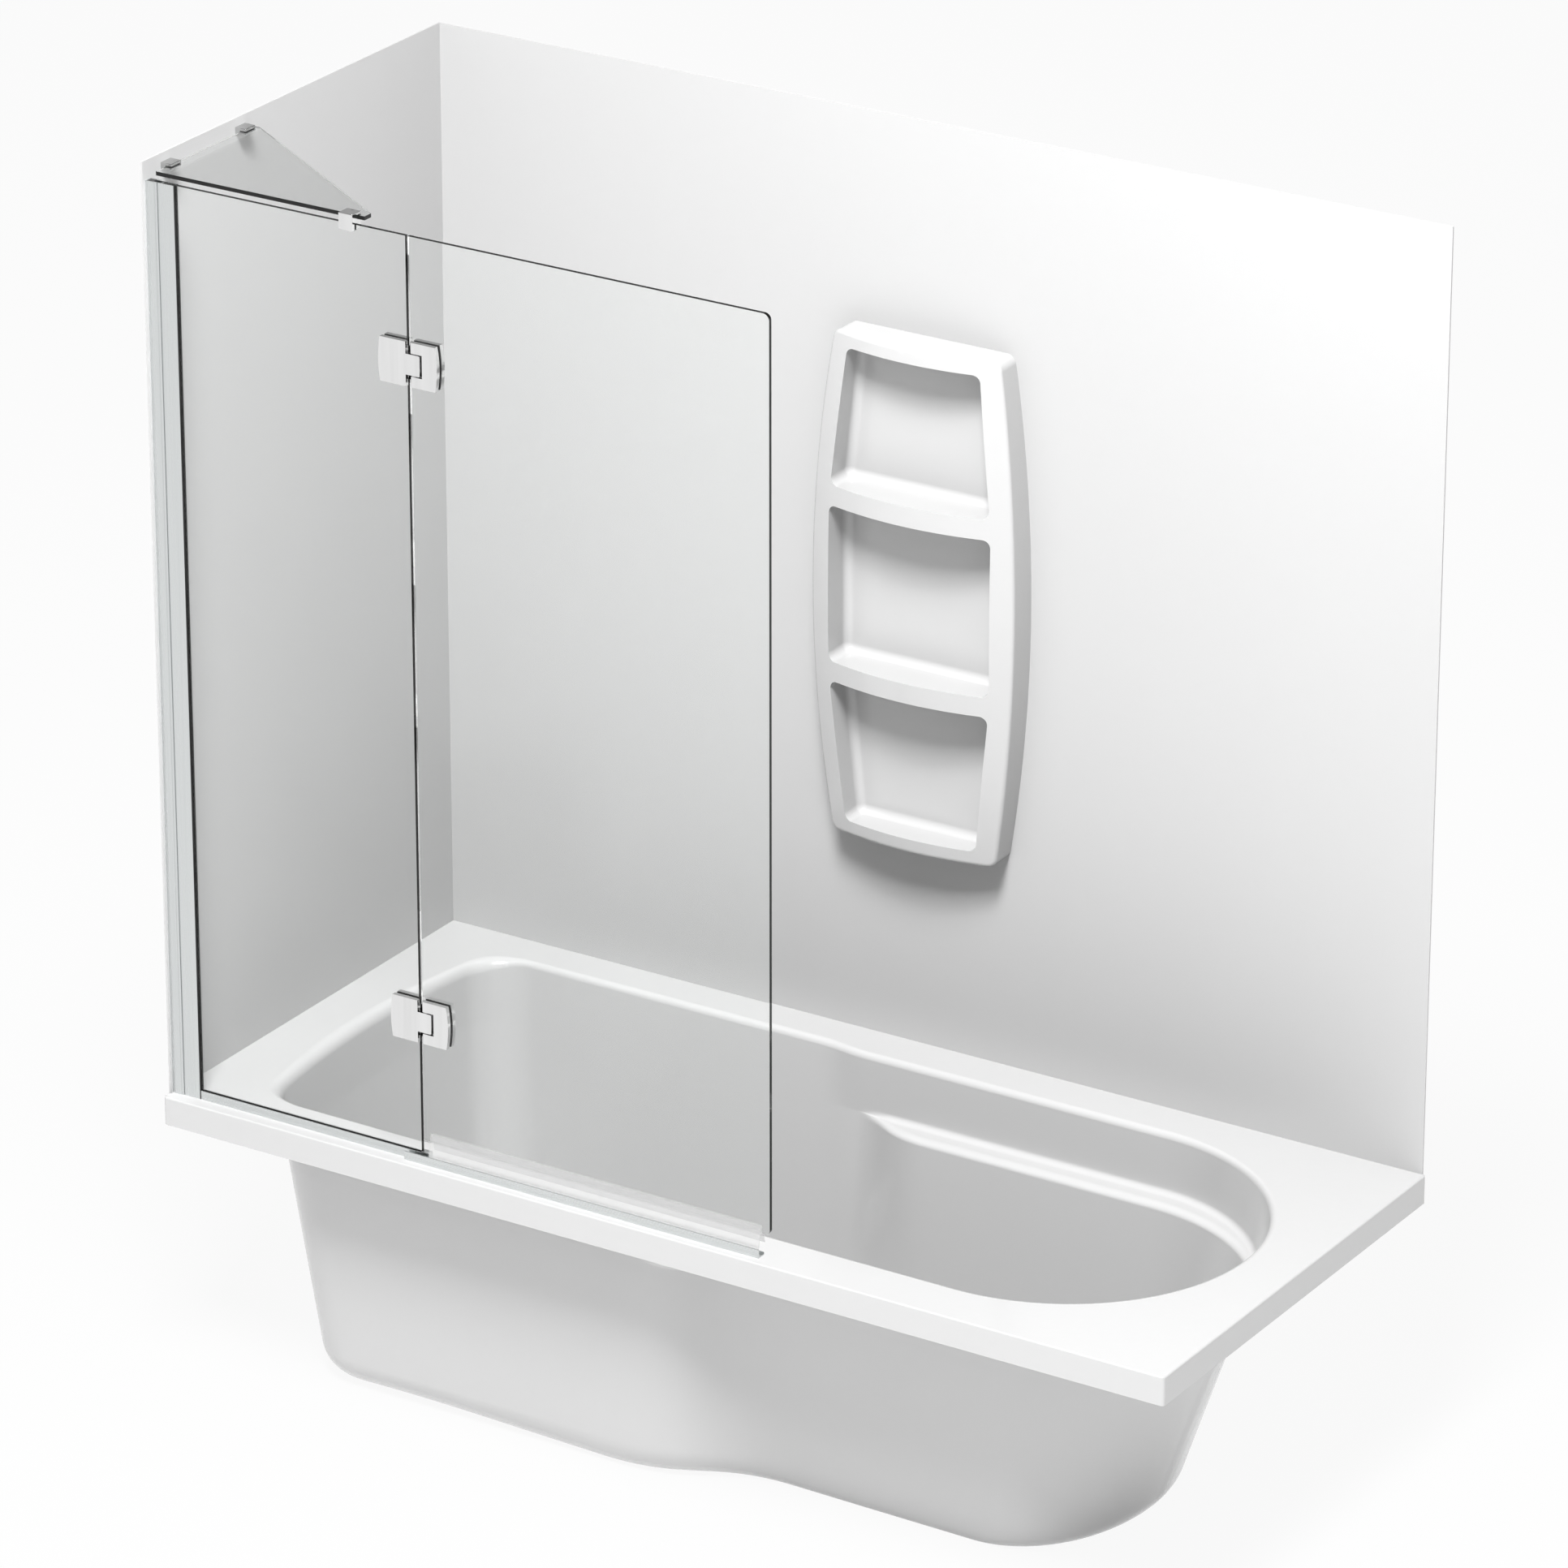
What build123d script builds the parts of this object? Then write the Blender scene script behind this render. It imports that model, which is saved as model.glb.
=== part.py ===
from build123d import *
from math import sqrt
import os

# Shower bath with a wall lining, a moulded shelf and a hinged glass screen.
# Millimetres. X runs along the bath to the right, Y to the back wall, Z up.
# The origin is on the floor under the middle of the bath.

# Bath shell
bath_length = 1700.0
bath_width = 760.0
tub_depth = 470.0
shell_wall = 6.0
fascia_height = 45.0
deck_corner_radius = 5.0
deck_edge_radius = 2.5
rim_radius = 10.0

# Basin opening in the deck, from the deck's edges
margin_left = 96.0
margin_right = 89.0
margin_front = 87.0
margin_back = 80.0
shower_back_step = 9.0
left_bow = 32.0
left_corner_radius = 80.0

# Lengthwise places, from the left end of the opening
opening_step_start = 607.0
opening_step_length = 100.0
waist_start = 661.0
waist_length = 196.0
ledge_start = 659.0
ledge_run = 170.0
floor_step_spread = 52.0

# How far the walls lean in from the rim to the ledge, and from the ledge to the floor
ledge_drop = 95.0
upper_lean = 8.0
upper_lean_back = 5.0
upper_lean_shower_back = 12.0
upper_lean_end = 22.5
floor_lean = 33.0
floor_lean_waist = 58.0
floor_lean_shower_back = 47.0
floor_lean_left = 44.0
floor_lean_end = 132.0
floor_radius = 44.0

# Ledge along both sides of the bath end
front_ledge_width = 55.0
back_ledge_width = 41.0
end_ledge_width = 6.0

# Wall lining
lining_sheet = 3.0
lining_height = 1450.0
left_sheet_setback = 15.0
back_sheet_short = 5.0

# Shelf
shelf_from_wall = 853.0
shelf_rise = 335.0
shelf_height = 789.0
shelf_end_half = 140.0
shelf_mid_half = 172.0
shelf_depth = 80.0
shelf_end_depth = 62.0
shelf_front_radius = 508.0
shelf_corner_radius = 16.0
shelf_edge_radius = 6.0
shelf_wall = 4.5
shelf_lip = 31.0
shelf_top_border = 22.0
shelf_bottom_border = 23.0
shelf_side_border = 31.5
niche_back = 9.0
niche_corner_radius = 13.0
niche_back_radius = 12.5
niche_height_shares = (0.325, 0.360, 0.315)

# Glass screen
glass_sheet = 6.0
screen_from_edge = 27.0
screen_below_lining = 29.0
fixed_reach = 442.5
panel_gap = 4.0
swing_width = 593.0
swing_lift = 34.0
swing_corner_radius = 10.0
glass_seat = 3.0
hole_clearance = 0.15
seat_gap = 0.3

# Upright profiles at the wall
wall_channel_width = 13.6
wall_channel_depth = 20.0
wall_channel_wall = 1.5
wall_channel_base = 2.0
wall_channel_groove = 1.2
wall_channel_groove_depth = 0.4
wall_channel_groove_inset = 3.0
glass_channel_width = 10.0
glass_channel_wall = 1.3
glass_channel_end = 48.0
glass_channel_web = 2.0
glass_socket = 20.0
cap_length = 10.0
cap_gap = 0.5
cap_height = 12.0
gasket_seat = 2.0
gasket_lip = 2.0
lip_thickness = 1.6

# Bottom channel, its end block and the sill strip
bottom_channel_height = 14.0
bottom_channel_wall = 1.2
bottom_channel_base = 1.6
end_block_height = 15.8
end_block_length = 14.0
sill_overlap = 24.5
sill_short = 12.5
sill_web_height = 13.5
sill_web = 2.0
sill_base = 1.6
sill_front = 13.0
sill_rear = 2.5
sill_lip_height = 4.5
sill_lip = 1.5

# Bottom seal
seal_wall = 1.0
seal_clip_height = 12.5
seal_web = 1.5
seal_fin = 1.2
seal_front_spread = 6.0
seal_front_drop = 25.0
seal_rear_spread = 4.5
seal_rear_drop = 17.0
seal_short = 15.0

# Hinges; places along the screen are measured from the pivot
hinge_from_fixed_edge = 15.5
hinge_from_deck = 225.8
hinge_from_top = 186.5
hinge_height = 66.5
leaf_thickness = 7.0
leaf_gasket = 1.0
leaf_bow = 3.2
fixed_leaf_edge = 13.0
fixed_leaf_width = 43.5
moving_leaf_edge = 6.5
moving_leaf_width = 43.0
moving_leaf_edge_radius = 4.0
tongue_height = 31.0
tongue_reach = 10.5
tongue_corner_radius = 2.0
cutout_reach = 14.5
cutout_gap = 1.75
glass_notch_reach = 16.0
glass_notch_height = 50.0
glass_notch_radius = 6.0
knuckle_radius = 6.0
boss_half = 4.0
boss_gap = 0.5
pin_radius = 2.5
pin_clearance = 0.05
gasket_inset = 0.6
hinge_screw_height = 20.0
fixed_screw_from_edge = 24.0
moving_screw_reach = 27.0

# Screws
screw_radius = 2.0
screw_head_radius = 4.0
screw_head_height = 2.3
head_round_share = 0.45
socket_width_share = 0.35
socket_depth_share = 0.6
grub_socket_share = 0.5
grub_depth_share = 0.5
clamp_head_radius = 3.2
glass_hole_radius = 4.0
screw_bite = 5.0
wall_screw_from_deck = 180.0
wall_screw_from_top = 181.0
profile_screw_from_deck = 120.0
profile_screw_from_top = 241.0
profile_screw_radius = 1.2
profile_head_radius = 2.4
profile_head_height = 1.0
profile_screw_length = 4.6
grub_radius = 2.0

# Brace glass and its clamps
brace_rise = 6.0
brace_wall_gap = 11.0
brace_setback = 5.0
brace_depth = 235.0
brace_reach = 358.0
brace_tip = 16.0
brace_heel = 13.0
clamp_pad = 0.5
wall_clamp_length = 19.0
wall_clamp_width = 24.0
wall_clamp_root = 9.0
wall_clamp_seat = 5.0
wall_clamp_grub = 15.0
front_clamp_inset = 38.0
rear_clamp_inset = 16.5
clamp_upper_jaw = 3.5
clamp_lower_jaw = 2.5
clamp_edge_radius = 0.8
glass_clamp_width = 23.5
glass_clamp_inset = 23.25
glass_clamp_front = 9.0
glass_clamp_rear = 13.5
glass_clamp_grip = 9.0
glass_clamp_roof = 0.5

# Waste
waste_from_left = 235.0
waste_hole_radius = 26.0
waste_flange_radius = 35.0
waste_flange_height = 2.5
waste_washer_radius = 33.0
waste_washer_height = 1.0
waste_collar_radius = 25.5
waste_bore_radius = 22.0
waste_seat_radius = 27.0
waste_seat_depth = 1.5
waste_collar_recess = 0.5
plug_rise = 2.0
lug_width = 6.0
lug_height = 5.0
lug_thickness = 3.0
ring_radius = 8.0
ring_wire = 1.2
ring_hole_radius = 1.9

# One overrun serves all cuts
overrun = 20.0

# Directions and angles
HALF_TURN = 180
TO_RIGHT = (1, 0, 0)
TO_LEFT = (-1, 0, 0)
TO_BACK = (0, 1, 0)
TO_FRONT = (0, -1, 0)
UPWARDS = (0, 0, 1)
DOWNWARDS = (0, 0, -1)

# Planes that the sub-parts share
deck_z = tub_depth
left_edge = -bath_length / 2
right_edge = bath_length / 2
front_edge = -bath_width / 2
back_edge = bath_width / 2
wall_x = left_edge + lining_sheet
wall_y = back_edge - lining_sheet
ledge_z = deck_z - ledge_drop

# Planes of the screen
screen_y = front_edge + screen_from_edge
glass_front = screen_y - glass_sheet / 2
glass_rear = screen_y + glass_sheet / 2
screen_top = deck_z + lining_height - screen_below_lining
fixed_edge = wall_x + fixed_reach
swing_edge = fixed_edge + panel_gap
swing_end = swing_edge + swing_width
swing_bottom = deck_z + swing_lift
pivot_x = fixed_edge + hinge_from_fixed_edge
channel_x = wall_x + glass_channel_end
socket_x = channel_x - glass_socket
fixed_start = socket_x + gasket_seat
fixed_bottom = deck_z + glass_seat
leaf_front = glass_front - leaf_gasket - leaf_thickness
leaf_front_back = glass_front - leaf_gasket
leaf_rear_front = glass_rear + leaf_gasket
leaf_rear = glass_rear + leaf_gasket + leaf_thickness
brace_z = screen_top + brace_rise
brace_top = brace_z + glass_sheet
brace_front = screen_y + brace_setback
brace_rear = brace_front + brace_depth
brace_left = wall_x + brace_wall_gap
brace_right = brace_left + brace_reach
hinge_levels = [deck_z + hinge_from_deck, screen_top - hinge_from_top]
fixed_screw_x = pivot_x - fixed_leaf_edge - fixed_screw_from_edge
moving_screw_x = pivot_x + moving_screw_reach
screw_seat_y = leaf_rear - screw_head_height
screw_hole_radius = screw_radius + hole_clearance
screw_hole_end = leaf_front_back - screw_bite - seat_gap
end_block_end = fixed_edge + end_block_length
telescope_x = wall_x + wall_channel_base + cap_length + cap_gap


def three_levels(from_deck, from_top):
    """Heights of a row of three screws in an upright profile."""
    low = deck_z + from_deck
    high = screen_top - from_top
    return [low, (low + high) / 2, high]


# Places of the clamps and of the screws in the wall and the profiles
clamp_low = brace_z - clamp_pad - clamp_lower_jaw
clamp_high = brace_top + clamp_pad + clamp_upper_jaw
slot_low = brace_z - clamp_pad
slot_high = brace_top + clamp_pad
clamp_seat_x = wall_x + wall_clamp_seat
grub_x = wall_x + wall_clamp_grub
wall_clamp_places = (brace_front + front_clamp_inset, brace_rear - rear_clamp_inset)
clamp_screw_seats = [(clamp_seat_x, y, (slot_low + slot_high) / 2) for y in wall_clamp_places]
glass_clamp_x = brace_right - glass_clamp_inset
glass_clamp_back = screen_y + glass_clamp_rear
grip_low = screen_top - glass_clamp_grip
grip_middle = (grip_low + screen_top) / 2
top_grub_y = (brace_front + glass_clamp_back) / 2
wall_screw_x = wall_x + wall_channel_base
wall_screw_levels = three_levels(wall_screw_from_deck, wall_screw_from_top)
wall_screw_seats = [(wall_screw_x, screen_y, level) for level in wall_screw_levels]
profile_screw_x = (telescope_x + wall_x + wall_channel_depth) / 2
profile_screw_y = screen_y + wall_channel_width / 2
profile_screw_levels = three_levels(profile_screw_from_deck, profile_screw_from_top)
profile_screw_seats = [(profile_screw_x, profile_screw_y, level) for level in profile_screw_levels]

# Shelf and waste
shelf_x = wall_x + shelf_from_wall
shelf_z = deck_z + shelf_rise
flange_z = shell_wall + waste_washer_height
seat_z = flange_z + waste_flange_height - waste_seat_depth
plug_top = seat_z + plug_rise
ring_z = plug_top + lug_height / 2


def block(x0, x1, y0, y1, z0, z1):
    """Block between six planes."""
    middle = Pos((x0 + x1) / 2, (y0 + y1) / 2, (z0 + z1) / 2)
    return middle * Box(x1 - x0, y1 - y0, z1 - z0)


def rod(start, direction, radius, length):
    """Round bar that starts at a point and runs along a direction."""
    bar = Cylinder(radius, length, align=(Align.CENTER, Align.CENTER, Align.MIN))
    return Plane(origin=start, z_dir=direction) * bar


def slab(face, x, z, y_front, y_rear):
    """Upright outline, drawn about (x, z), made solid between two y values."""
    plane = Plane(origin=(x, y_rear, z), x_dir=TO_RIGHT, z_dir=TO_FRONT)
    return extrude(plane * face, y_rear - y_front)


def bar_along_x(points, x0, x1):
    """Bar with a constant section, given as (y, z) points, between two x values."""
    section = make_face(Polyline(*points, close=True))
    return extrude(Plane(origin=(x0, 0, 0), x_dir=TO_BACK, z_dir=TO_RIGHT) * section, x1 - x0)


def group(solids):
    """Separate solids of one sub-part."""
    return Compound(children=list(solids))


def basin_face(z, left, front, waist, back, shower_back, reach, front_curve, back_curve, grow):
    """Outline of the basin at one height, grown outwards by a distance."""
    left_x = left - grow
    corner_x = left_x + left_bow
    front_y = front - grow
    waist_y = waist - grow
    back_y = back + grow
    wide_y = shower_back + grow
    front_a, front_b = front_curve
    back_a, back_b = back_curve
    front_mid = (front_a + front_b) / 2
    back_mid = (back_a + back_b) / 2
    end_y = (waist_y + back_y) / 2
    edges = [
        Line((corner_x, front_y), (front_a, front_y)),
        Bezier((front_a, front_y), (front_mid, front_y), (front_mid, waist_y), (front_b, waist_y)),
        Line((front_b, waist_y), (end_centre, waist_y)),
        EllipticalCenterArc(
            (end_centre, end_y),
            reach + grow,
            (back_y - waist_y) / 2,
            start_angle=-HALF_TURN / 2,
            arc_size=HALF_TURN,
        ),
        Line((end_centre, back_y), (back_b, back_y)),
        Bezier((back_b, back_y), (back_mid, back_y), (back_mid, wide_y), (back_a, wide_y)),
        Line((back_a, wide_y), (corner_x, wide_y)),
        ThreePointArc((corner_x, wide_y), (left_x, (front_y + wide_y) / 2), (corner_x, front_y)),
    ]
    outline = make_face(edges)
    corners = outline.vertices().sort_by(Axis.X)[:2]
    return Pos(0, 0, z) * fillet(corners, left_corner_radius + grow)


opening_left = left_edge + margin_left
opening_front = front_edge + margin_front
opening_back = back_edge - margin_back
opening_right = right_edge - margin_right
end_radius = (opening_back - opening_front) / 2
end_centre = opening_right - end_radius
opening_curve = (
    opening_left + opening_step_start,
    opening_left + opening_step_start + opening_step_length,
)
waist_curve = (opening_left + waist_start, opening_left + waist_start + waist_length)
ledge_curve = (opening_left + ledge_start, opening_left + ledge_start + ledge_run)
floor_waist_curve = (waist_curve[0] - floor_step_spread, waist_curve[1] + floor_step_spread)
floor_ledge_curve = (ledge_curve[0] - floor_step_spread, ledge_curve[1] + floor_step_spread)


def rim_level(z, grow):
    """Basin outline at the deck."""
    return basin_face(
        z,
        opening_left,
        opening_front,
        opening_front,
        opening_back,
        opening_back + shower_back_step,
        end_radius,
        waist_curve,
        opening_curve,
        grow,
    )


ledge_left = opening_left + upper_lean
ledge_front = opening_front + upper_lean
ledge_back = opening_back - upper_lean_back
ledge_shower_back = opening_back + shower_back_step - upper_lean_shower_back
ledge_reach = end_radius - upper_lean_end
lower_front = ledge_front + front_ledge_width
lower_back = ledge_back - back_ledge_width
lower_reach = ledge_reach - end_ledge_width


def ledge_level(z, grow):
    """Basin outline just above the ledge."""
    return basin_face(
        z,
        ledge_left,
        ledge_front,
        ledge_front,
        ledge_back,
        ledge_shower_back,
        ledge_reach,
        waist_curve,
        opening_curve,
        grow,
    )


def lower_level(z, grow):
    """Basin outline just below the ledge."""
    return basin_face(
        z,
        ledge_left,
        ledge_front,
        lower_front,
        lower_back,
        ledge_shower_back,
        lower_reach,
        waist_curve,
        ledge_curve,
        grow,
    )


def floor_level(z, grow):
    """Basin outline at the floor."""
    return basin_face(
        z,
        ledge_left + floor_lean_left,
        ledge_front + floor_lean,
        lower_front + floor_lean_waist,
        lower_back - floor_lean,
        ledge_shower_back - floor_lean_shower_back,
        lower_reach - floor_lean_end,
        floor_waist_curve,
        floor_ledge_curve,
        grow,
    )


waste_x = opening_left + waste_from_left
waste_y = (opening_front + opening_back) / 2


def screw(seat, direction, radius, length, head_radius, head_height):
    """Button screw: its head's underside lies at the seat, its shank runs along the direction."""
    shank = Cylinder(radius, length, align=(Align.CENTER, Align.CENTER, Align.MIN))
    head = Cylinder(head_radius, head_height, align=(Align.CENTER, Align.CENTER, Align.MAX))
    head = fillet(head.edges().sort_by(Axis.Z)[:1], head_height * head_round_share)
    socket = extrude(RegularPolygon(head_radius * socket_width_share, 6), head_height * socket_depth_share)
    whole = shank + head - Pos(0, 0, -head_height) * socket
    return Plane(origin=seat, z_dir=direction) * whole


def grub(start, direction, length):
    """Headless screw with a socket in its outer end."""
    bar = Cylinder(grub_radius, length, align=(Align.CENTER, Align.CENTER, Align.MIN))
    socket = extrude(RegularPolygon(grub_radius * grub_socket_share, 6), length * grub_depth_share)
    return Plane(origin=start, z_dir=direction) * (bar - socket)


def make_bath_shell():
    """Deck with its fascia, and the basin that hangs in it and stands on the floor."""
    deck = block(left_edge, right_edge, front_edge, back_edge, deck_z - fascia_height, deck_z)
    deck = fillet(deck.edges().filter_by(Axis.Z), deck_corner_radius)
    top = deck.faces().sort_by(Axis.Z)[-1]
    shown = top.edges().sort_by(Axis.Y)[:1] + top.edges().sort_by(Axis.X)[-1:]
    deck = fillet(shown, deck_edge_radius)
    hollow = block(
        left_edge + shell_wall,
        right_edge - shell_wall,
        front_edge + shell_wall,
        back_edge - shell_wall,
        deck_z - fascia_height - overrun,
        deck_z - shell_wall,
    )
    upper_levels = [
        rim_level(deck_z - shell_wall, shell_wall),
        ledge_level(ledge_z - shell_wall, shell_wall),
    ]
    lower_levels = [lower_level(ledge_z, shell_wall), floor_level(0, shell_wall)]
    upper_body = loft(upper_levels, ruled=True)
    lower_body = loft(lower_levels, ruled=True)
    lower_body = fillet(lower_body.faces().sort_by(Axis.Z)[0].edges(), floor_radius + shell_wall)
    upper_void = loft([rim_level(deck_z, 0), ledge_level(ledge_z, 0)], ruled=True)
    lower_void = loft([lower_level(ledge_z, 0), floor_level(shell_wall, 0)], ruled=True)
    lower_void = fillet(lower_void.faces().sort_by(Axis.Z)[0].edges(), floor_radius)
    shell = (deck - hollow) + upper_body + lower_body - upper_void - lower_void
    rim = shell.faces().sort_by(Axis.Z)[-1].inner_wires()[0].edges()
    shell = fillet(rim, rim_radius)
    return shell - rod((waste_x, waste_y, -overrun), UPWARDS, waste_hole_radius, overrun + overrun)


def make_waste_washer():
    """Rubber ring between the floor and the waste's flange."""
    ring = rod((waste_x, waste_y, shell_wall), UPWARDS, waste_washer_radius, waste_washer_height)
    return ring - rod((waste_x, waste_y, 0), UPWARDS, waste_hole_radius, overrun)


def make_waste_flange():
    """Waste fitting: flange, collar down through the floor, bore for the drain pipe."""
    low = waste_collar_recess
    flange = rod((waste_x, waste_y, flange_z), UPWARDS, waste_flange_radius, waste_flange_height)
    flange = fillet(flange.edges().sort_by(Axis.Z)[-1:], waste_flange_height * head_round_share)
    collar = rod((waste_x, waste_y, low), UPWARDS, waste_collar_radius, flange_z - low)
    bore = rod((waste_x, waste_y, low - overrun), UPWARDS, waste_bore_radius, overrun + overrun)
    seat = rod((waste_x, waste_y, seat_z), UPWARDS, waste_seat_radius, overrun)
    return flange + collar - bore - seat


def make_waste_plug():
    """Plug with a lug for its ring."""
    disc = rod((waste_x, waste_y, seat_z), UPWARDS, waste_seat_radius - seat_gap, plug_rise)
    half = lug_width / 2
    lug = block(
        waste_x - half,
        waste_x + half,
        waste_y - lug_thickness / 2,
        waste_y + lug_thickness / 2,
        seat_z,
        plug_top + lug_height,
    )
    hole = rod((waste_x, waste_y - overrun, ring_z), TO_BACK, ring_hole_radius, overrun + overrun)
    return disc + (lug - hole)


def make_plug_ring():
    """Pull ring that lies on the plug, with its far side down."""
    drop = (ring_z - plug_top - ring_wire) / (2 * ring_radius)
    reach = ring_radius * sqrt(1 - drop * drop)
    plane = Plane(
        origin=(waste_x + reach, waste_y, ring_z - ring_radius * drop),
        x_dir=TO_BACK,
        z_dir=(ring_radius * drop, 0, reach),
    )
    return plane * Torus(ring_radius, ring_wire)


def make_left_wall_panel():
    """Left lining sheet, butted against the back sheet, with its screw holes."""
    front = front_edge + left_sheet_setback
    sheet = block(left_edge, wall_x, front, wall_y, deck_z, deck_z + lining_height)
    for x, y, z in wall_screw_seats + clamp_screw_seats:
        sheet -= rod((left_edge - overrun, y, z), TO_RIGHT, screw_hole_radius, overrun + overrun)
    return sheet


def make_back_wall_panel():
    """Back lining sheet, as long as the deck but for a short step at the right."""
    right = right_edge - back_sheet_short
    return block(left_edge, right, wall_y, back_edge, deck_z, deck_z + lining_height)


def shelf_half(height, inset):
    """Half the shelf's width at a height above its lower edge."""
    sag = shelf_mid_half - shelf_end_half
    middle = shelf_height / 2
    radius = (middle * middle + sag * sag) / (2 * sag)
    return shelf_mid_half - radius + sqrt(radius * radius - (height - middle) ** 2) - inset


def shelf_outline(inset):
    """Front outline of the shelf, drawn upwards from its lower edge."""
    low = inset
    high = shelf_height - inset
    low_half = shelf_half(low, inset)
    high_half = shelf_half(high, inset)
    middle = (shelf_mid_half - inset, shelf_height / 2)
    edges = [
        Line((-low_half, low), (low_half, low)),
        ThreePointArc((low_half, low), middle, (high_half, high)),
        Line((high_half, high), (-high_half, high)),
        ThreePointArc((-high_half, high), (-middle[0], middle[1]), (-low_half, low)),
    ]
    outline = make_face(edges)
    return fillet(outline.vertices(), shelf_corner_radius - inset)


def shelf_solid(inset):
    """Shelf without its niches: the outline's prism inside a barrel with an upright axis."""
    prism = slab(shelf_outline(inset), shelf_x, shelf_z, wall_y - shelf_depth - overrun, wall_y)
    centre_back = shelf_front_radius - shelf_depth
    end = centre_back + shelf_end_depth - inset
    middle = (shelf_front_radius - inset, shelf_height / 2)
    profile = make_face(
        [
            Line((0, 0), (end, 0)),
            ThreePointArc((end, 0), middle, (end, shelf_height)),
            Line((end, shelf_height), (0, shelf_height)),
            Line((0, shelf_height), (0, 0)),
        ]
    )
    barrel = revolve(Plane.XZ * profile, Axis.Z, 2 * HALF_TURN)
    return prism & (Pos(shelf_x, wall_y + centre_back, shelf_z) * barrel)


def niche(low, high, grow):
    """Niche between two heights of the shelf, grown all round by a distance."""
    bottom = low - grow
    top = high + grow
    bottom_half = shelf_half(low, shelf_side_border) + grow
    top_half = shelf_half(high, shelf_side_border) + grow
    corners = ((-bottom_half, bottom), (bottom_half, bottom), (top_half, top), (-top_half, top))
    outline = make_face(Polyline(*corners, close=True))
    outline = fillet(outline.vertices(), niche_corner_radius + grow)
    back = wall_y - niche_back + grow
    tool = slab(outline, shelf_x, shelf_z, wall_y - shelf_depth - overrun, back)
    return fillet(tool.faces().sort_by(Axis.Y)[-1].edges(), niche_back_radius)


def make_wall_shelf():
    """Moulded shelf, open at the back, with three niches."""
    clear = shelf_height - shelf_top_border - shelf_bottom_border
    clear -= shelf_lip * (len(niche_height_shares) - 1)
    body = shelf_solid(0)
    front = body.faces().sort_by(Axis.Y)[0]
    body = fillet(front.edges(), shelf_edge_radius)
    core = shelf_solid(shelf_wall)
    low = shelf_bottom_border
    for share in niche_height_shares:
        high = low + clear * share
        body -= niche(low, high, 0)
        core -= niche(low, high, shelf_wall)
        low = high + shelf_lip
    return body - core


def make_wall_channel():
    """Channel screwed to the left sheet; the glass channel slides in it."""
    half = wall_channel_width / 2
    inner = half - wall_channel_wall
    end_x = wall_x + wall_channel_depth
    channel = block(wall_x, end_x, screen_y - half, screen_y + half, deck_z, screen_top)
    channel -= block(
        wall_x + wall_channel_base,
        end_x + overrun,
        screen_y - inner,
        screen_y + inner,
        deck_z - overrun,
        screen_top + overrun,
    )
    groove_x = end_x - wall_channel_groove_inset
    channel -= block(
        groove_x - wall_channel_groove,
        groove_x,
        screen_y - half - overrun,
        screen_y - half + wall_channel_groove_depth,
        deck_z - overrun,
        screen_top + overrun,
    )
    for x, y, z in wall_screw_seats:
        channel -= rod((x - overrun, y, z), TO_RIGHT, screw_hole_radius, overrun + overrun)
    for seat in profile_screw_seats:
        channel -= rod(seat, TO_FRONT, profile_screw_radius + hole_clearance, profile_screw_length)
    return channel


def make_glass_channel():
    """Channel that holds the fixed glass in its socket, telescoped into the wall channel."""
    half = glass_channel_width / 2
    inner = half - glass_channel_wall
    channel = block(telescope_x, channel_x, screen_y - half, screen_y + half, deck_z, screen_top)
    low = deck_z - overrun
    high = screen_top + overrun
    web_x = socket_x - glass_channel_web
    channel -= block(telescope_x - overrun, web_x, screen_y - inner, screen_y + inner, low, high)
    channel -= block(socket_x, channel_x + overrun, screen_y - inner, screen_y + inner, low, high)
    for seat in profile_screw_seats:
        channel -= rod(seat, TO_FRONT, profile_screw_radius + hole_clearance, profile_screw_length)
    return channel


def make_profile_cap():
    """Dark stopper in the top of the wall channel."""
    half = wall_channel_width / 2 - wall_channel_wall - hole_clearance
    left = wall_x + wall_channel_base
    low = screen_top - cap_height
    return block(left, left + cap_length, screen_y - half, screen_y + half, low, screen_top)


def make_glazing_gasket():
    """Rubber round the fixed glass's edge in its channel, with a lip outside."""
    inner = glass_channel_width / 2 - glass_channel_wall
    lip = glass_sheet / 2 + lip_thickness
    gasket = block(socket_x, channel_x, screen_y - inner, screen_y + inner, deck_z, screen_top)
    gasket += block(channel_x, channel_x + gasket_lip, screen_y - lip, screen_y + lip, deck_z, screen_top)
    low = deck_z - overrun
    high = screen_top + overrun
    return gasket - block(fixed_start, channel_x + overrun, glass_front, glass_rear, low, high)


def make_bottom_channel():
    """Channel under the fixed glass."""
    half = glass_channel_width / 2
    inner = half - bottom_channel_wall
    left = channel_x + gasket_lip
    top = deck_z + bottom_channel_height
    channel = block(left, fixed_edge, screen_y - half, screen_y + half, deck_z, top)
    floor = deck_z + bottom_channel_base
    right = fixed_edge + overrun
    return channel - block(left - overrun, right, screen_y - inner, screen_y + inner, floor, top + overrun)


def make_bottom_gasket():
    """Rubber between the bottom channel and the fixed glass."""
    inner = glass_channel_width / 2 - bottom_channel_wall
    left = channel_x + gasket_lip
    top = deck_z + bottom_channel_height
    gasket = block(left, fixed_edge, screen_y - inner, screen_y + inner, deck_z + bottom_channel_base, top)
    right = fixed_edge + overrun
    return gasket - block(left - overrun, right, glass_front, glass_rear, fixed_bottom, top + overrun)


def make_channel_end_block():
    """Block that closes the bottom channel at the hinge line."""
    half = glass_channel_width / 2
    left = fixed_edge + seat_gap
    body = block(left, end_block_end, screen_y - half, screen_y + half, deck_z, deck_z + end_block_height)
    return fillet(body.faces().sort_by(Axis.Z)[-1].edges(), clamp_edge_radius)


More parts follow.
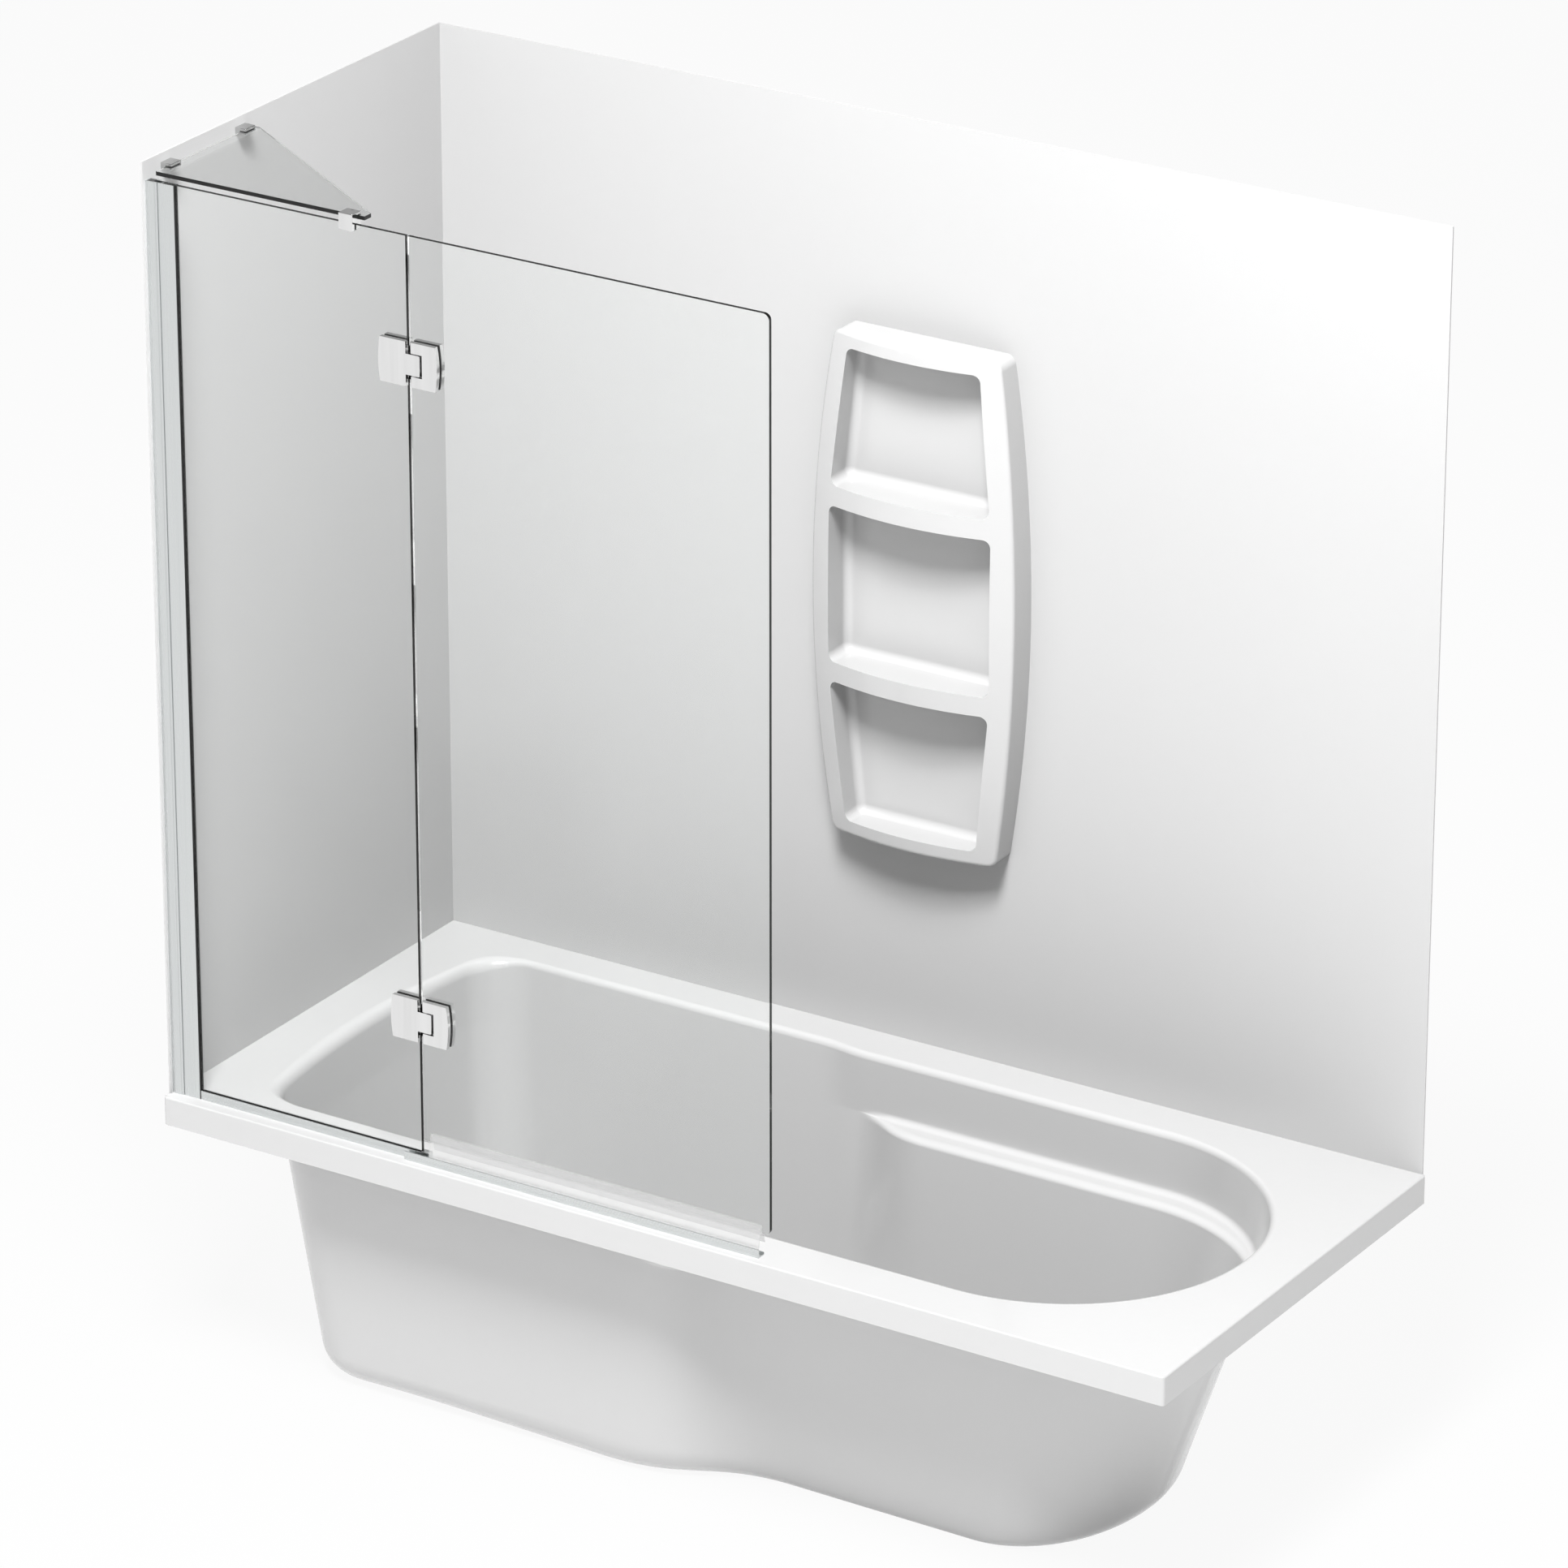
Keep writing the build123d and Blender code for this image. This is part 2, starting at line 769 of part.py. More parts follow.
def make_fixed_glass():
    """Fixed panel of the screen, with the hinge screws' holes."""
    glass = block(fixed_start, fixed_edge, glass_front, glass_rear, fixed_bottom, screen_top)
    for hinge_z in hinge_levels:
        for hole in screw_holes(fixed_screw_x, hinge_z, glass_hole_radius, glass_front, glass_rear):
            glass -= hole
    return glass


def make_sill_strip():
    """Strip on the deck with an upstand in front of the seal and a small lip behind it."""
    left = fixed_edge - sill_overlap
    right = swing_end - sill_short
    front = screen_y - sill_front
    rear = screen_y + sill_rear
    step_x = end_block_end + seat_gap
    step_y = screen_y - glass_channel_width / 2 - seat_gap
    floor = deck_z + sill_base
    strip = block(left, right, front, front + sill_web, deck_z, deck_z + sill_web_height)
    strip += block(left, right, front, step_y, deck_z, floor)
    strip += block(step_x, right, front, rear, deck_z, floor)
    return strip + block(step_x, right, rear - sill_lip, rear, deck_z, deck_z + sill_lip_height)


def make_swing_glass():
    """Swinging panel: rounded outer corners, a notch and two holes at each hinge."""
    glass = block(swing_edge, swing_end, glass_front, glass_rear, swing_bottom, screen_top)
    outer = glass.edges().filter_by(Axis.Y).sort_by(Axis.X)[-2:]
    glass = fillet(outer, swing_corner_radius)
    half = glass_notch_height / 2
    left = swing_edge - overrun
    right = pivot_x + glass_notch_reach
    for hinge_z in hinge_levels:
        notch = block(left, right, glass_front, glass_rear, hinge_z - half, hinge_z + half)
        glass -= fillet(notch.edges().filter_by(Axis.Y).sort_by(Axis.X)[-2:], glass_notch_radius)
        for hole in screw_holes(moving_screw_x, hinge_z, glass_hole_radius, glass_front, glass_rear):
            glass -= hole
    return glass


def make_bottom_seal():
    """Clear seal clipped on the swinging glass, with one fin behind the upstand and one inside."""
    half = glass_sheet / 2 + seal_wall
    right = swing_end - seal_short
    root = swing_bottom - seal_web
    seal = block(pivot_x, right, screen_y - half, screen_y + half, root, swing_bottom + seal_clip_height)
    seal -= block(
        pivot_x - overrun, right + overrun, glass_front, glass_rear, swing_bottom, swing_bottom + overrun
    )
    fins = ((-1, seal_front_spread, seal_front_drop), (1, seal_rear_spread, seal_rear_drop))
    for side, spread, drop in fins:
        outer = screen_y + side * half
        tip = outer + side * spread
        section = (
            (outer, swing_bottom),
            (outer - side * seal_fin, swing_bottom),
            (tip - side * seal_fin, swing_bottom - drop),
            (tip, swing_bottom - drop),
        )
        seal += bar_along_x(section, pivot_x, right)
    return seal


def leaf_face(edge, far, side, inset):
    """Upright outline of a hinge leaf: straight towards the pivot, bowed at its far end."""
    half = hinge_height / 2 - inset
    near = edge + side * inset
    end = far - side * inset
    lines = Polyline((end, -half), (near, -half), (near, half), (end, half))
    bow = ThreePointArc((end, half), (end + side * leaf_bow, 0), (end, -half))
    return make_face(lines + bow)


def fixed_face(inset):
    """Outline of a fixed leaf, from the pivot."""
    return leaf_face(-fixed_leaf_edge, -fixed_leaf_edge - fixed_leaf_width, -1, inset)


def moving_face(inset):
    """Outline of a moving leaf, from the pivot, with the cut-out round the tongue."""
    whole = leaf_face(-moving_leaf_edge, moving_leaf_width - moving_leaf_edge, 1, inset)
    left = -moving_leaf_edge - overrun
    right = cutout_reach + inset
    width = right - left
    hole = Rectangle(width, tongue_height + 2 * (cutout_gap + inset))
    return whole - Pos((left + right) / 2, 0) * hole


def screw_holes(x, hinge_z, radius, y_front, y_rear):
    """Pair of holes for the hinge screws between two y values."""
    holes = []
    for z in (hinge_z - hinge_screw_height, hinge_z + hinge_screw_height):
        holes.append(rod((x, y_front, z), TO_BACK, radius, y_rear - y_front))
    return holes


def pin_bore(hinge_z):
    """Cut for the pin, with its running clearance, through a whole hinge."""
    start = (pivot_x, screen_y, hinge_z - hinge_height)
    return rod(start, UPWARDS, pin_radius + pin_clearance, 2 * hinge_height)


def make_outer_fixed_leaf(hinge_z):
    """Outer leaf on the fixed glass, with the tongue and the knuckle for the pin."""
    leaf = slab(fixed_face(0), pivot_x, hinge_z, leaf_front, leaf_front_back)
    half = tongue_height / 2
    low = hinge_z - half
    high = hinge_z + half
    root_x = pivot_x - fixed_leaf_edge
    tip_x = pivot_x + tongue_reach
    tongue = block(root_x - tongue_corner_radius, tip_x, leaf_front, leaf_front_back, low, high)
    tongue = fillet(tongue.edges().filter_by(Axis.Y).sort_by(Axis.X)[-2:], tongue_corner_radius)
    neck = block(root_x, pivot_x, leaf_front_back, leaf_rear_front, low, high)
    barrel = rod((pivot_x, screen_y, low), UPWARDS, knuckle_radius, tongue_height)
    leaf = leaf + tongue + neck + barrel - pin_bore(hinge_z)
    for hole in screw_holes(fixed_screw_x, hinge_z, screw_hole_radius, screw_hole_end, leaf_front_back):
        leaf -= hole
    return leaf


def make_outer_moving_leaf(hinge_z):
    """Outer leaf on the swinging glass, with the two bosses that turn on the pin."""
    leaf = slab(moving_face(0), pivot_x, hinge_z, leaf_front, leaf_front_back)
    near = leaf.edges().filter_by(Axis.Z).filter_by_position(Axis.Y, leaf_front, leaf_front)
    leaf = fillet(near.sort_by(Axis.X)[:2], moving_leaf_edge_radius)
    inner = tongue_height / 2 + cutout_gap
    outer = glass_notch_height / 2 - boss_gap
    for side in (-1, 1):
        low = hinge_z + min(side * inner, side * outer)
        high = hinge_z + max(side * inner, side * outer)
        leaf += block(pivot_x - boss_half, pivot_x + boss_half, leaf_front_back, leaf_rear_front, low, high)
    leaf -= pin_bore(hinge_z)
    for hole in screw_holes(moving_screw_x, hinge_z, screw_hole_radius, screw_hole_end, leaf_front_back):
        leaf -= hole
    return leaf


def bore_inner_leaf(leaf, x, hinge_z):
    """Screw holes with counterbores, from the inner side."""
    for hole in screw_holes(x, hinge_z, screw_hole_radius, leaf_rear_front, leaf_rear):
        leaf -= hole
    head_hole_radius = screw_head_radius + hole_clearance
    for hole in screw_holes(x, hinge_z, head_hole_radius, screw_seat_y, leaf_rear):
        leaf -= hole
    return leaf


def make_inner_fixed_leaf(hinge_z):
    """Inner leaf on the fixed glass."""
    leaf = slab(fixed_face(0), pivot_x, hinge_z, leaf_rear_front, leaf_rear)
    return bore_inner_leaf(leaf, fixed_screw_x, hinge_z)


def make_inner_moving_leaf(hinge_z):
    """Inner leaf on the swinging glass, rounded where it turns past the fixed leaf."""
    leaf = slab(moving_face(0), pivot_x, hinge_z, leaf_rear_front, leaf_rear)
    near = leaf.edges().filter_by(Axis.Z).filter_by_position(Axis.Y, leaf_rear, leaf_rear)
    leaf = fillet(near.sort_by(Axis.X)[:2], moving_leaf_edge_radius)
    return bore_inner_leaf(leaf, moving_screw_x, hinge_z)


def make_fixed_gaskets(hinge_z):
    """Gaskets between the fixed leaves and the glass."""
    pads = []
    for front, rear in ((leaf_front_back, glass_front), (glass_rear, leaf_rear_front)):
        pad = slab(fixed_face(gasket_inset), pivot_x, hinge_z, front, rear)
        for hole in screw_holes(fixed_screw_x, hinge_z, glass_hole_radius, front, rear):
            pad -= hole
        pads.append(pad)
    return group(pads)


def make_moving_gaskets(hinge_z):
    """Gaskets between the moving leaves and the glass, cut away at the glass's notch."""
    pads = []
    half = glass_notch_height / 2
    right = pivot_x + glass_notch_reach
    for front, rear in ((leaf_front_back, glass_front), (glass_rear, leaf_rear_front)):
        pad = slab(moving_face(gasket_inset), pivot_x, hinge_z, front, rear)
        pad -= block(pivot_x - overrun, right, front, rear, hinge_z - half, hinge_z + half)
        for hole in screw_holes(moving_screw_x, hinge_z, glass_hole_radius, front, rear):
            pad -= hole
        pads.append(pad)
    return group(pads)


def make_pin(hinge_z):
    """Pin through the knuckle and both bosses."""
    half = glass_notch_height / 2 - boss_gap
    return rod((pivot_x, screen_y, hinge_z - half), UPWARDS, pin_radius, 2 * half)


def make_hinge_screws(x, hinge_z):
    """Screws from the inner leaf through the glass into the outer leaf."""
    screws = []
    length = screw_seat_y - leaf_front_back + screw_bite
    for z in (hinge_z - hinge_screw_height, hinge_z + hinge_screw_height):
        seat = (x, screw_seat_y, z)
        screws.append(screw(seat, TO_FRONT, screw_radius, length, screw_head_radius, screw_head_height))
    return group(screws)


def make_hinge(name, hinge_z):
    """All sub-parts of one hinge, by name."""
    return {
        name + "_outer_fixed_leaf": make_outer_fixed_leaf(hinge_z),
        name + "_outer_moving_leaf": make_outer_moving_leaf(hinge_z),
        name + "_inner_fixed_leaf": make_inner_fixed_leaf(hinge_z),
        name + "_inner_moving_leaf": make_inner_moving_leaf(hinge_z),
        name + "_fixed_gaskets": make_fixed_gaskets(hinge_z),
        name + "_moving_gaskets": make_moving_gaskets(hinge_z),
        name + "_pin": make_pin(hinge_z),
        name + "_fixed_screws": make_hinge_screws(fixed_screw_x, hinge_z),
        name + "_moving_screws": make_hinge_screws(moving_screw_x, hinge_z),
    }


def make_brace_glass():
    """Triangular glass that ties the top of the fixed panel to the wall."""
    corners = (
        (brace_left, brace_front),
        (brace_right, brace_front),
        (brace_right, brace_front + brace_tip),
        (brace_left + brace_heel, brace_rear),
        (brace_left, brace_rear),
    )
    return Pos(0, 0, brace_z) * extrude(make_face(Polyline(*corners, close=True)), glass_sheet)


def make_wall_clamp(y):
    """Clamp on the wall with a slot for the brace glass."""
    half = wall_clamp_width / 2
    body = block(wall_x, wall_x + wall_clamp_length, y - half, y + half, clamp_low, clamp_high)
    body = fillet(body.edges(), clamp_edge_radius)
    slot_x = wall_x + wall_clamp_root
    body -= block(slot_x, slot_x + overrun, y - overrun, y + overrun, slot_low, slot_high)
    middle = (slot_low + slot_high) / 2
    body -= rod((wall_x - overrun, y, middle), TO_RIGHT, screw_hole_radius, overrun + overrun)
    body -= rod((clamp_seat_x, y, middle), TO_RIGHT, clamp_head_radius + hole_clearance, overrun)
    return body - rod((grub_x, y, slot_low - overrun), UPWARDS, grub_radius + hole_clearance, overrun)


def make_wall_clamp_pads():
    """Pads above and below the brace glass in both wall clamps."""
    pads = []
    half = wall_clamp_width / 2
    right = wall_x + wall_clamp_length
    for y in wall_clamp_places:
        pads.append(block(brace_left, right, y - half, y + half, slot_low, brace_z))
        pads.append(block(brace_left, right, y - half, y + half, brace_top, slot_high))
    return group(pads)


def make_wall_clamp_grub_screws():
    """Screws in the lower jaws that press the pads against the brace glass."""
    return group(grub((grub_x, y, clamp_low), UPWARDS, clamp_lower_jaw) for y in wall_clamp_places)


def make_wall_clamp_screws():
    """Screws that hold the wall clamps."""
    length = clamp_seat_x - left_edge
    return group(
        screw(seat, TO_LEFT, screw_radius, length, clamp_head_radius, screw_head_height)
        for seat in clamp_screw_seats
    )


def make_glass_clamp():
    """Clamp that sits on the fixed glass and grips the brace glass."""
    half = glass_clamp_width / 2
    front = screen_y - glass_clamp_front
    body = block(glass_clamp_x - half, glass_clamp_x + half, front, glass_clamp_back, grip_low, clamp_high)
    body = fillet(body.edges(), clamp_edge_radius)
    left = glass_clamp_x - overrun
    right = glass_clamp_x + overrun
    roof = screen_top + glass_clamp_roof
    body -= block(left, right, glass_front - clamp_pad, glass_rear + clamp_pad, grip_low - overrun, roof)
    body -= block(left, right, brace_front - clamp_pad, glass_clamp_back + overrun, slot_low, slot_high)
    rear_hole = (glass_clamp_x, screen_y, grip_middle)
    body -= rod(rear_hole, TO_BACK, grub_radius + hole_clearance, overrun)
    top_hole = (glass_clamp_x, top_grub_y, (slot_low + slot_high) / 2)
    return body - rod(top_hole, UPWARDS, grub_radius + hole_clearance, overrun)


def make_glass_clamp_pads():
    """Pads in both slots of the glass clamp."""
    half = glass_clamp_width / 2
    left = glass_clamp_x - half
    right = glass_clamp_x + half
    return group(
        [
            block(left, right, glass_front - clamp_pad, glass_front, grip_low, screen_top),
            block(left, right, glass_rear, glass_rear + clamp_pad, grip_low, screen_top),
            block(left, right, brace_front, glass_clamp_back, slot_low, brace_z),
            block(left, right, brace_front, glass_clamp_back, brace_top, slot_high),
        ]
    )


def make_glass_clamp_grub_screws():
    """Screws of the glass clamp: one presses the fixed glass, one the brace glass."""
    rear_length = glass_clamp_back - glass_rear - clamp_pad
    return group(
        [
            grub((glass_clamp_x, glass_clamp_back, grip_middle), TO_FRONT, rear_length),
            grub((glass_clamp_x, top_grub_y, clamp_high), DOWNWARDS, clamp_upper_jaw),
        ]
    )


def make_wall_channel_screws():
    """Screws that hold the wall channel, cut off level with the back of the sheet."""
    length = wall_channel_base + lining_sheet
    return group(
        screw(seat, TO_LEFT, screw_radius, length, screw_head_radius, screw_head_height)
        for seat in wall_screw_seats
    )


def make_profile_screws():
    """Small screws that lock the glass channel in the wall channel."""
    size = (profile_screw_radius, profile_screw_length, profile_head_radius, profile_head_height)
    return group(screw(seat, TO_FRONT, *size) for seat in profile_screw_seats)


def make_all():
    """Every sub-part, by name."""
    front_clamp_y, rear_clamp_y = wall_clamp_places
    parts = {
        "bath_shell": make_bath_shell(),
        "waste_washer": make_waste_washer(),
        "waste_flange": make_waste_flange(),
        "waste_plug": make_waste_plug(),
        "plug_ring": make_plug_ring(),
        "left_wall_panel": make_left_wall_panel(),
        "back_wall_panel": make_back_wall_panel(),
        "wall_shelf": make_wall_shelf(),
        "wall_channel": make_wall_channel(),
        "glass_channel": make_glass_channel(),
        "profile_cap": make_profile_cap(),
        "glazing_gasket": make_glazing_gasket(),
        "wall_channel_screws": make_wall_channel_screws(),
        "profile_screws": make_profile_screws(),
        "bottom_channel": make_bottom_channel(),
        "bottom_gasket": make_bottom_gasket(),
        "channel_end_block": make_channel_end_block(),
        "fixed_glass": make_fixed_glass(),
        "sill_strip": make_sill_strip(),
        "brace_glass": make_brace_glass(),
        "wall_clamp_front": make_wall_clamp(front_clamp_y),
        "wall_clamp_rear": make_wall_clamp(rear_clamp_y),
        "wall_clamp_screws": make_wall_clamp_screws(),
        "wall_clamp_pads": make_wall_clamp_pads(),
        "wall_clamp_grub_screws": make_wall_clamp_grub_screws(),
        "glass_clamp": make_glass_clamp(),
        "glass_clamp_pads": make_glass_clamp_pads(),
        "glass_clamp_grub_screws": make_glass_clamp_grub_screws(),
        "swing_glass": make_swing_glass(),
        "bottom_seal": make_bottom_seal(),
    }
    for name, hinge_z in zip(("lower_hinge", "upper_hinge"), hinge_levels):
        parts.update(make_hinge(name, hinge_z))
    return parts


os.makedirs("parts", exist_ok=True)
for part_name, shape in make_all().items():
    export_step(shape, os.path.join("parts", part_name + ".step"))
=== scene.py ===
# %% [markdown]
# # A shower bath with a wall lining, a shelf and a glass screen
# The real thing is a white acrylic bath with a wide shower end and a narrow bath end. Two acrylic sheets
# line the walls beside it, a moulded shelf with three niches hangs on one of them, and the outer pane of a
# frameless glass screen swings on two polished hinges. The CAD model already has every piece in its place,
# in metres. This lesson loads it, photographs it in a plain white studio, and gives each piece the surface
# that it has in a showroom.

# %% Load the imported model
from math import atan2, pi, radians, sqrt

import bpy
import numpy as np
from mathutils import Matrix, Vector


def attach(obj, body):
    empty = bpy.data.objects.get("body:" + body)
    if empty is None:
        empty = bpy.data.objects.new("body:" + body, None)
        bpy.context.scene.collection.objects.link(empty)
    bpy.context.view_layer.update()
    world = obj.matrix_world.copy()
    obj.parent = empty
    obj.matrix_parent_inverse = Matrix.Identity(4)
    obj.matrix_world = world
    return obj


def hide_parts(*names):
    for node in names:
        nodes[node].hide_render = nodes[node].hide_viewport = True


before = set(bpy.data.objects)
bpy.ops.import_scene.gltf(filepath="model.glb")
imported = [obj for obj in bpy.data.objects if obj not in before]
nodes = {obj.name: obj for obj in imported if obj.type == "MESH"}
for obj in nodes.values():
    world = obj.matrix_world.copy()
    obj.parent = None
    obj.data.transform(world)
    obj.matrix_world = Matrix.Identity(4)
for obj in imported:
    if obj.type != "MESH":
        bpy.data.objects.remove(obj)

slot_of = {name: piece.material_slots[0].material.name for name, piece in nodes.items()}
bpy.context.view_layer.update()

# %% [markdown]
# ## The camera
# A product picture like this one is taken with a long lens from far away, so the upright edges stay almost
# parallel. A camera could be placed by eye, but then every comparison would be a guess. This one was worked
# out from the corners of the deck and of the lining, so it is written down as a place, a direction and a
# focal length.

# %% Camera
CAMERA_PLACE = Vector((6.0407, -9.5913, 5.8853))
CAMERA_DIRECTION = Vector((-0.49031, 0.77746, -0.39389))
FOCAL_LENGTH = 197.41
SENSOR_WIDTH = 36.0


def place_camera():
    """Camera at the photograph's viewing angle, looking along one direction."""
    lens = bpy.data.cameras.new("photo_camera")
    lens.lens = FOCAL_LENGTH
    lens.sensor_fit = "HORIZONTAL"
    lens.sensor_width = SENSOR_WIDTH
    camera = bpy.data.objects.new("photo_camera", lens)
    camera.location = CAMERA_PLACE
    camera.rotation_euler = CAMERA_DIRECTION.to_track_quat("-Z", "Y").to_euler()
    bpy.context.scene.collection.objects.link(camera)
    bpy.context.scene.camera = camera
    return camera


print("camera", place_camera().location[:], "focal length", FOCAL_LENGTH, "mm")

# %% [markdown]
# ## The studio
# White acrylic on a white ground needs soft light from large lamps: a small lamp would burn the deck out
# and leave the basin in the dark. The world gives the even light of white walls. A large lamp hangs high in
# front, so that the deck, the floor of each niche and the fascia are the brightest, each niche has a dark
# top, and the left wall, which it only grazes, is greyer than the back wall. A smaller lamp overhead lifts
# the deck a little more. The background is white because the world and the floor are white to the camera,
# through the Light Path node. No lamp is turned up for it. Metal and glass see the same white floor and
# horizon. A studio's ceiling is dimmer than its floor, so what metal sees high above it is dimmer too, and
# a chrome piece gets a grey top and a bright front.

# %% The world
WORLD_LIGHT = 0.285
CEILING_HEIGHT = 0.39
WHITE = (1, 1, 1, 1)


def seen_directly(tree):
    """Value of one for rays that show the surface itself, in a mirror or through glass too."""
    path = tree.nodes.new("ShaderNodeLightPath")
    mirror = tree.nodes.new("ShaderNodeMath")
    mirror.operation = "MAXIMUM"
    through = tree.nodes.new("ShaderNodeMath")
    through.operation = "MAXIMUM"
    tree.links.new(path.outputs["Is Camera Ray"], mirror.inputs[0])
    tree.links.new(path.outputs["Is Glossy Ray"], mirror.inputs[1])
    tree.links.new(mirror.outputs[0], through.inputs[0])
    tree.links.new(path.outputs["Is Transmission Ray"], through.inputs[1])
    return through.outputs[0]


def dim_ceiling(tree):
    """Strength of one to the camera and through glass, that falls off above the horizon in a mirror."""
    path = tree.nodes.new("ShaderNodeLightPath")
    direction = tree.nodes.new("ShaderNodeSeparateXYZ")
    rise = tree.nodes.new("ShaderNodeMapRange")
    rise.inputs["From Max"].default_value = CEILING_HEIGHT
    rise.inputs["To Max"].default_value = 1 - WORLD_LIGHT
    in_mirror = tree.nodes.new("ShaderNodeMath")
    in_mirror.operation = "MULTIPLY"
    strength = tree.nodes.new("ShaderNodeMath")
    strength.operation = "SUBTRACT"
    strength.inputs[0].default_value = 1.0
    tree.links.new(tree.nodes.new("ShaderNodeTexCoord").outputs["Generated"], direction.inputs[0])
    tree.links.new(direction.outputs["Z"], rise.inputs["Value"])
    tree.links.new(rise.outputs["Result"], in_mirror.inputs[0])
    tree.links.new(path.outputs["Is Glossy Ray"], in_mirror.inputs[1])
    tree.links.new(in_mirror.outputs[0], strength.inputs[1])
    return strength.outputs[0]


def light_world():
    """World that lights the bath evenly and looks white."""
    world = bpy.data.worlds.new("white_studio")
    world.use_nodes = True
    tree = world.node_tree
    tree.nodes.clear()
    out = tree.nodes.new("ShaderNodeOutputWorld")
    mix = tree.nodes.new("ShaderNodeMixShader")
    lit = tree.nodes.new("ShaderNodeBackground")
    lit.inputs["Strength"].default_value = WORLD_LIGHT
    shown = tree.nodes.new("ShaderNodeBackground")
    for background in (lit, shown):
        background.inputs["Color"].default_value = WHITE
    tree.links.new(dim_ceiling(tree), shown.inputs["Strength"])
    tree.links.new(seen_directly(tree), mix.inputs[0])
    tree.links.new(lit.outputs[0], mix.inputs[1])
    tree.links.new(shown.outputs[0], mix.inputs[2])
    tree.links.new(mix.outputs[0], out.inputs["Surface"])
    bpy.context.scene.world = world
    return world


bpy.context.scene.view_settings.view_transform = "Standard"
print("world", light_world().name, "lights with a strength of", WORLD_LIGHT)

# %% [markdown]
# ### The floor
# A product stands on a roll of white paper. A pure white plane would lose the shadow, and with the shadow
# the object would seem to float. So the floor is matt and pale, and a large share of it is replaced by
# plain white only where it is looked at. The rest still takes the shadow.

# %% The floor
FLOOR_SIZE = 60.0
FLOOR_TONE = 0.85
FLOOR_WHITE = 0.93


def lay_floor():
    """Wide pale floor that looks almost white and still keeps the object's shadow."""
    half = FLOOR_SIZE / 2
    mesh = bpy.data.meshes.new("studio_floor")
    mesh.from_pydata(
        [(-half, -half, 0), (half, -half, 0), (half, half, 0), (-half, half, 0)], [], [(0, 1, 2, 3)]
    )
    floor = bpy.data.objects.new("studio_floor", mesh)
    bpy.context.scene.collection.objects.link(floor)
    paint = bpy.data.materials.new("studio_floor_paint")
    paint.use_nodes = True
    tree = paint.node_tree
    tree.nodes.clear()
    out = tree.nodes.new("ShaderNodeOutputMaterial")
    matt = tree.nodes.new("ShaderNodeBsdfDiffuse")
    matt.inputs["Color"].default_value = (FLOOR_TONE, FLOOR_TONE, FLOOR_TONE, 1)
    glow = tree.nodes.new("ShaderNodeEmission")
    glow.inputs["Color"].default_value = WHITE
    share = tree.nodes.new("ShaderNodeMath")
    share.operation = "MULTIPLY"
    share.inputs[1].default_value = FLOOR_WHITE
    mix = tree.nodes.new("ShaderNodeMixShader")
    tree.links.new(seen_directly(tree), share.inputs[0])
    tree.links.new(share.outputs[0], mix.inputs[0])
    tree.links.new(matt.outputs[0], mix.inputs[1])
    tree.links.new(glow.outputs[0], mix.inputs[2])
    tree.links.new(mix.outputs[0], out.inputs["Surface"])
    mesh.materials.append(paint)
    return floor


print("floor", lay_floor().dimensions[:])

# %% [markdown]
# ### The lamps
# Two square soft boxes are enough. More lamps would make more shadows under the shelf, and the photograph
# shows one. Each lamp is written as a place and the point that it looks at, as a photographer would note
# it.

# %% The lamps
LAMPS = {
    "lamp_high_front": dict(place=(1.6, -4.0, 8.0), aim=(0.1, 0.1, 0.9), size=2.0, watts=570),
    "lamp_overhead": dict(place=(1.0, -1.7, 5.4), aim=(0.1, 0.1, 0.9), size=0.9, watts=67),
}


def hang_lamp(name, place, aim, size, watts):
    """Square soft box that looks from its place towards its aim."""
    light = bpy.data.lights.new(name, "AREA")
    light.shape = "SQUARE"
    light.size = size
    light.energy = watts
    lamp = bpy.data.objects.new(name, light)
    lamp.location = place
    lamp.rotation_euler = (Vector(aim) - Vector(place)).to_track_quat("-Z", "Y").to_euler()
    bpy.context.scene.collection.objects.link(lamp)
    return lamp


for name, facts in LAMPS.items():
    print(hang_lamp(name, **facts).name, facts["watts"], "W")

# %% [markdown]
# ## Effects that several finishes share
# Acrylic, aluminium and rubber are different materials, but each is a shader plus a few small changes over
# the surface. Those changes are built once, as node groups with named sockets, and each finish places a
# group with its own values. A group gives out colours, values and heights. The shader itself stays in the
# material.

# %% Helpers for the groups
FLOAT, COLOUR, VECTOR = "NodeSocketFloat", "NodeSocketColor", "NodeSocketVector"
NOISE_LOW, NOISE_HIGH = 0.3, 0.7


def new_group(name, inputs, outputs):
    """Shader node group with named sockets, and its two end nodes."""
    group = bpy.data.node_groups.new(name, "ShaderNodeTree")
    for socket_name, kind, value in inputs:
        socket = group.interface.new_socket(socket_name, in_out="INPUT", socket_type=kind)
        socket.default_value = value
    for socket_name, kind in outputs:
        group.interface.new_socket(socket_name, in_out="OUTPUT", socket_type=kind)
    return group, group.nodes.new("NodeGroupInput"), group.nodes.new("NodeGroupOutput")


def noise(tree, vector, scale, detail=2.0):
    """Noise node whose scale is a number or a socket."""
    node = tree.nodes.new("ShaderNodeTexNoise")
    node.inputs["Detail"].default_value = detail
    tree.links.new(vector, node.inputs["Vector"])
    if isinstance(scale, float):
        node.inputs["Scale"].default_value = scale
    else:
        tree.links.new(scale, node.inputs["Scale"])
    return node.outputs["Fac"]


def between(tree, share, low, high):
    """Value that moves from low to high as share goes over the middle of its range."""
    node = tree.nodes.new("ShaderNodeMapRange")
    node.inputs["From Min"].default_value = NOISE_LOW
    node.inputs["From Max"].default_value = NOISE_HIGH
    tree.links.new(share, node.inputs["Value"])
    tree.links.new(low, node.inputs["To Min"])
    tree.links.new(high, node.inputs["To Max"])
    return node.outputs["Result"]


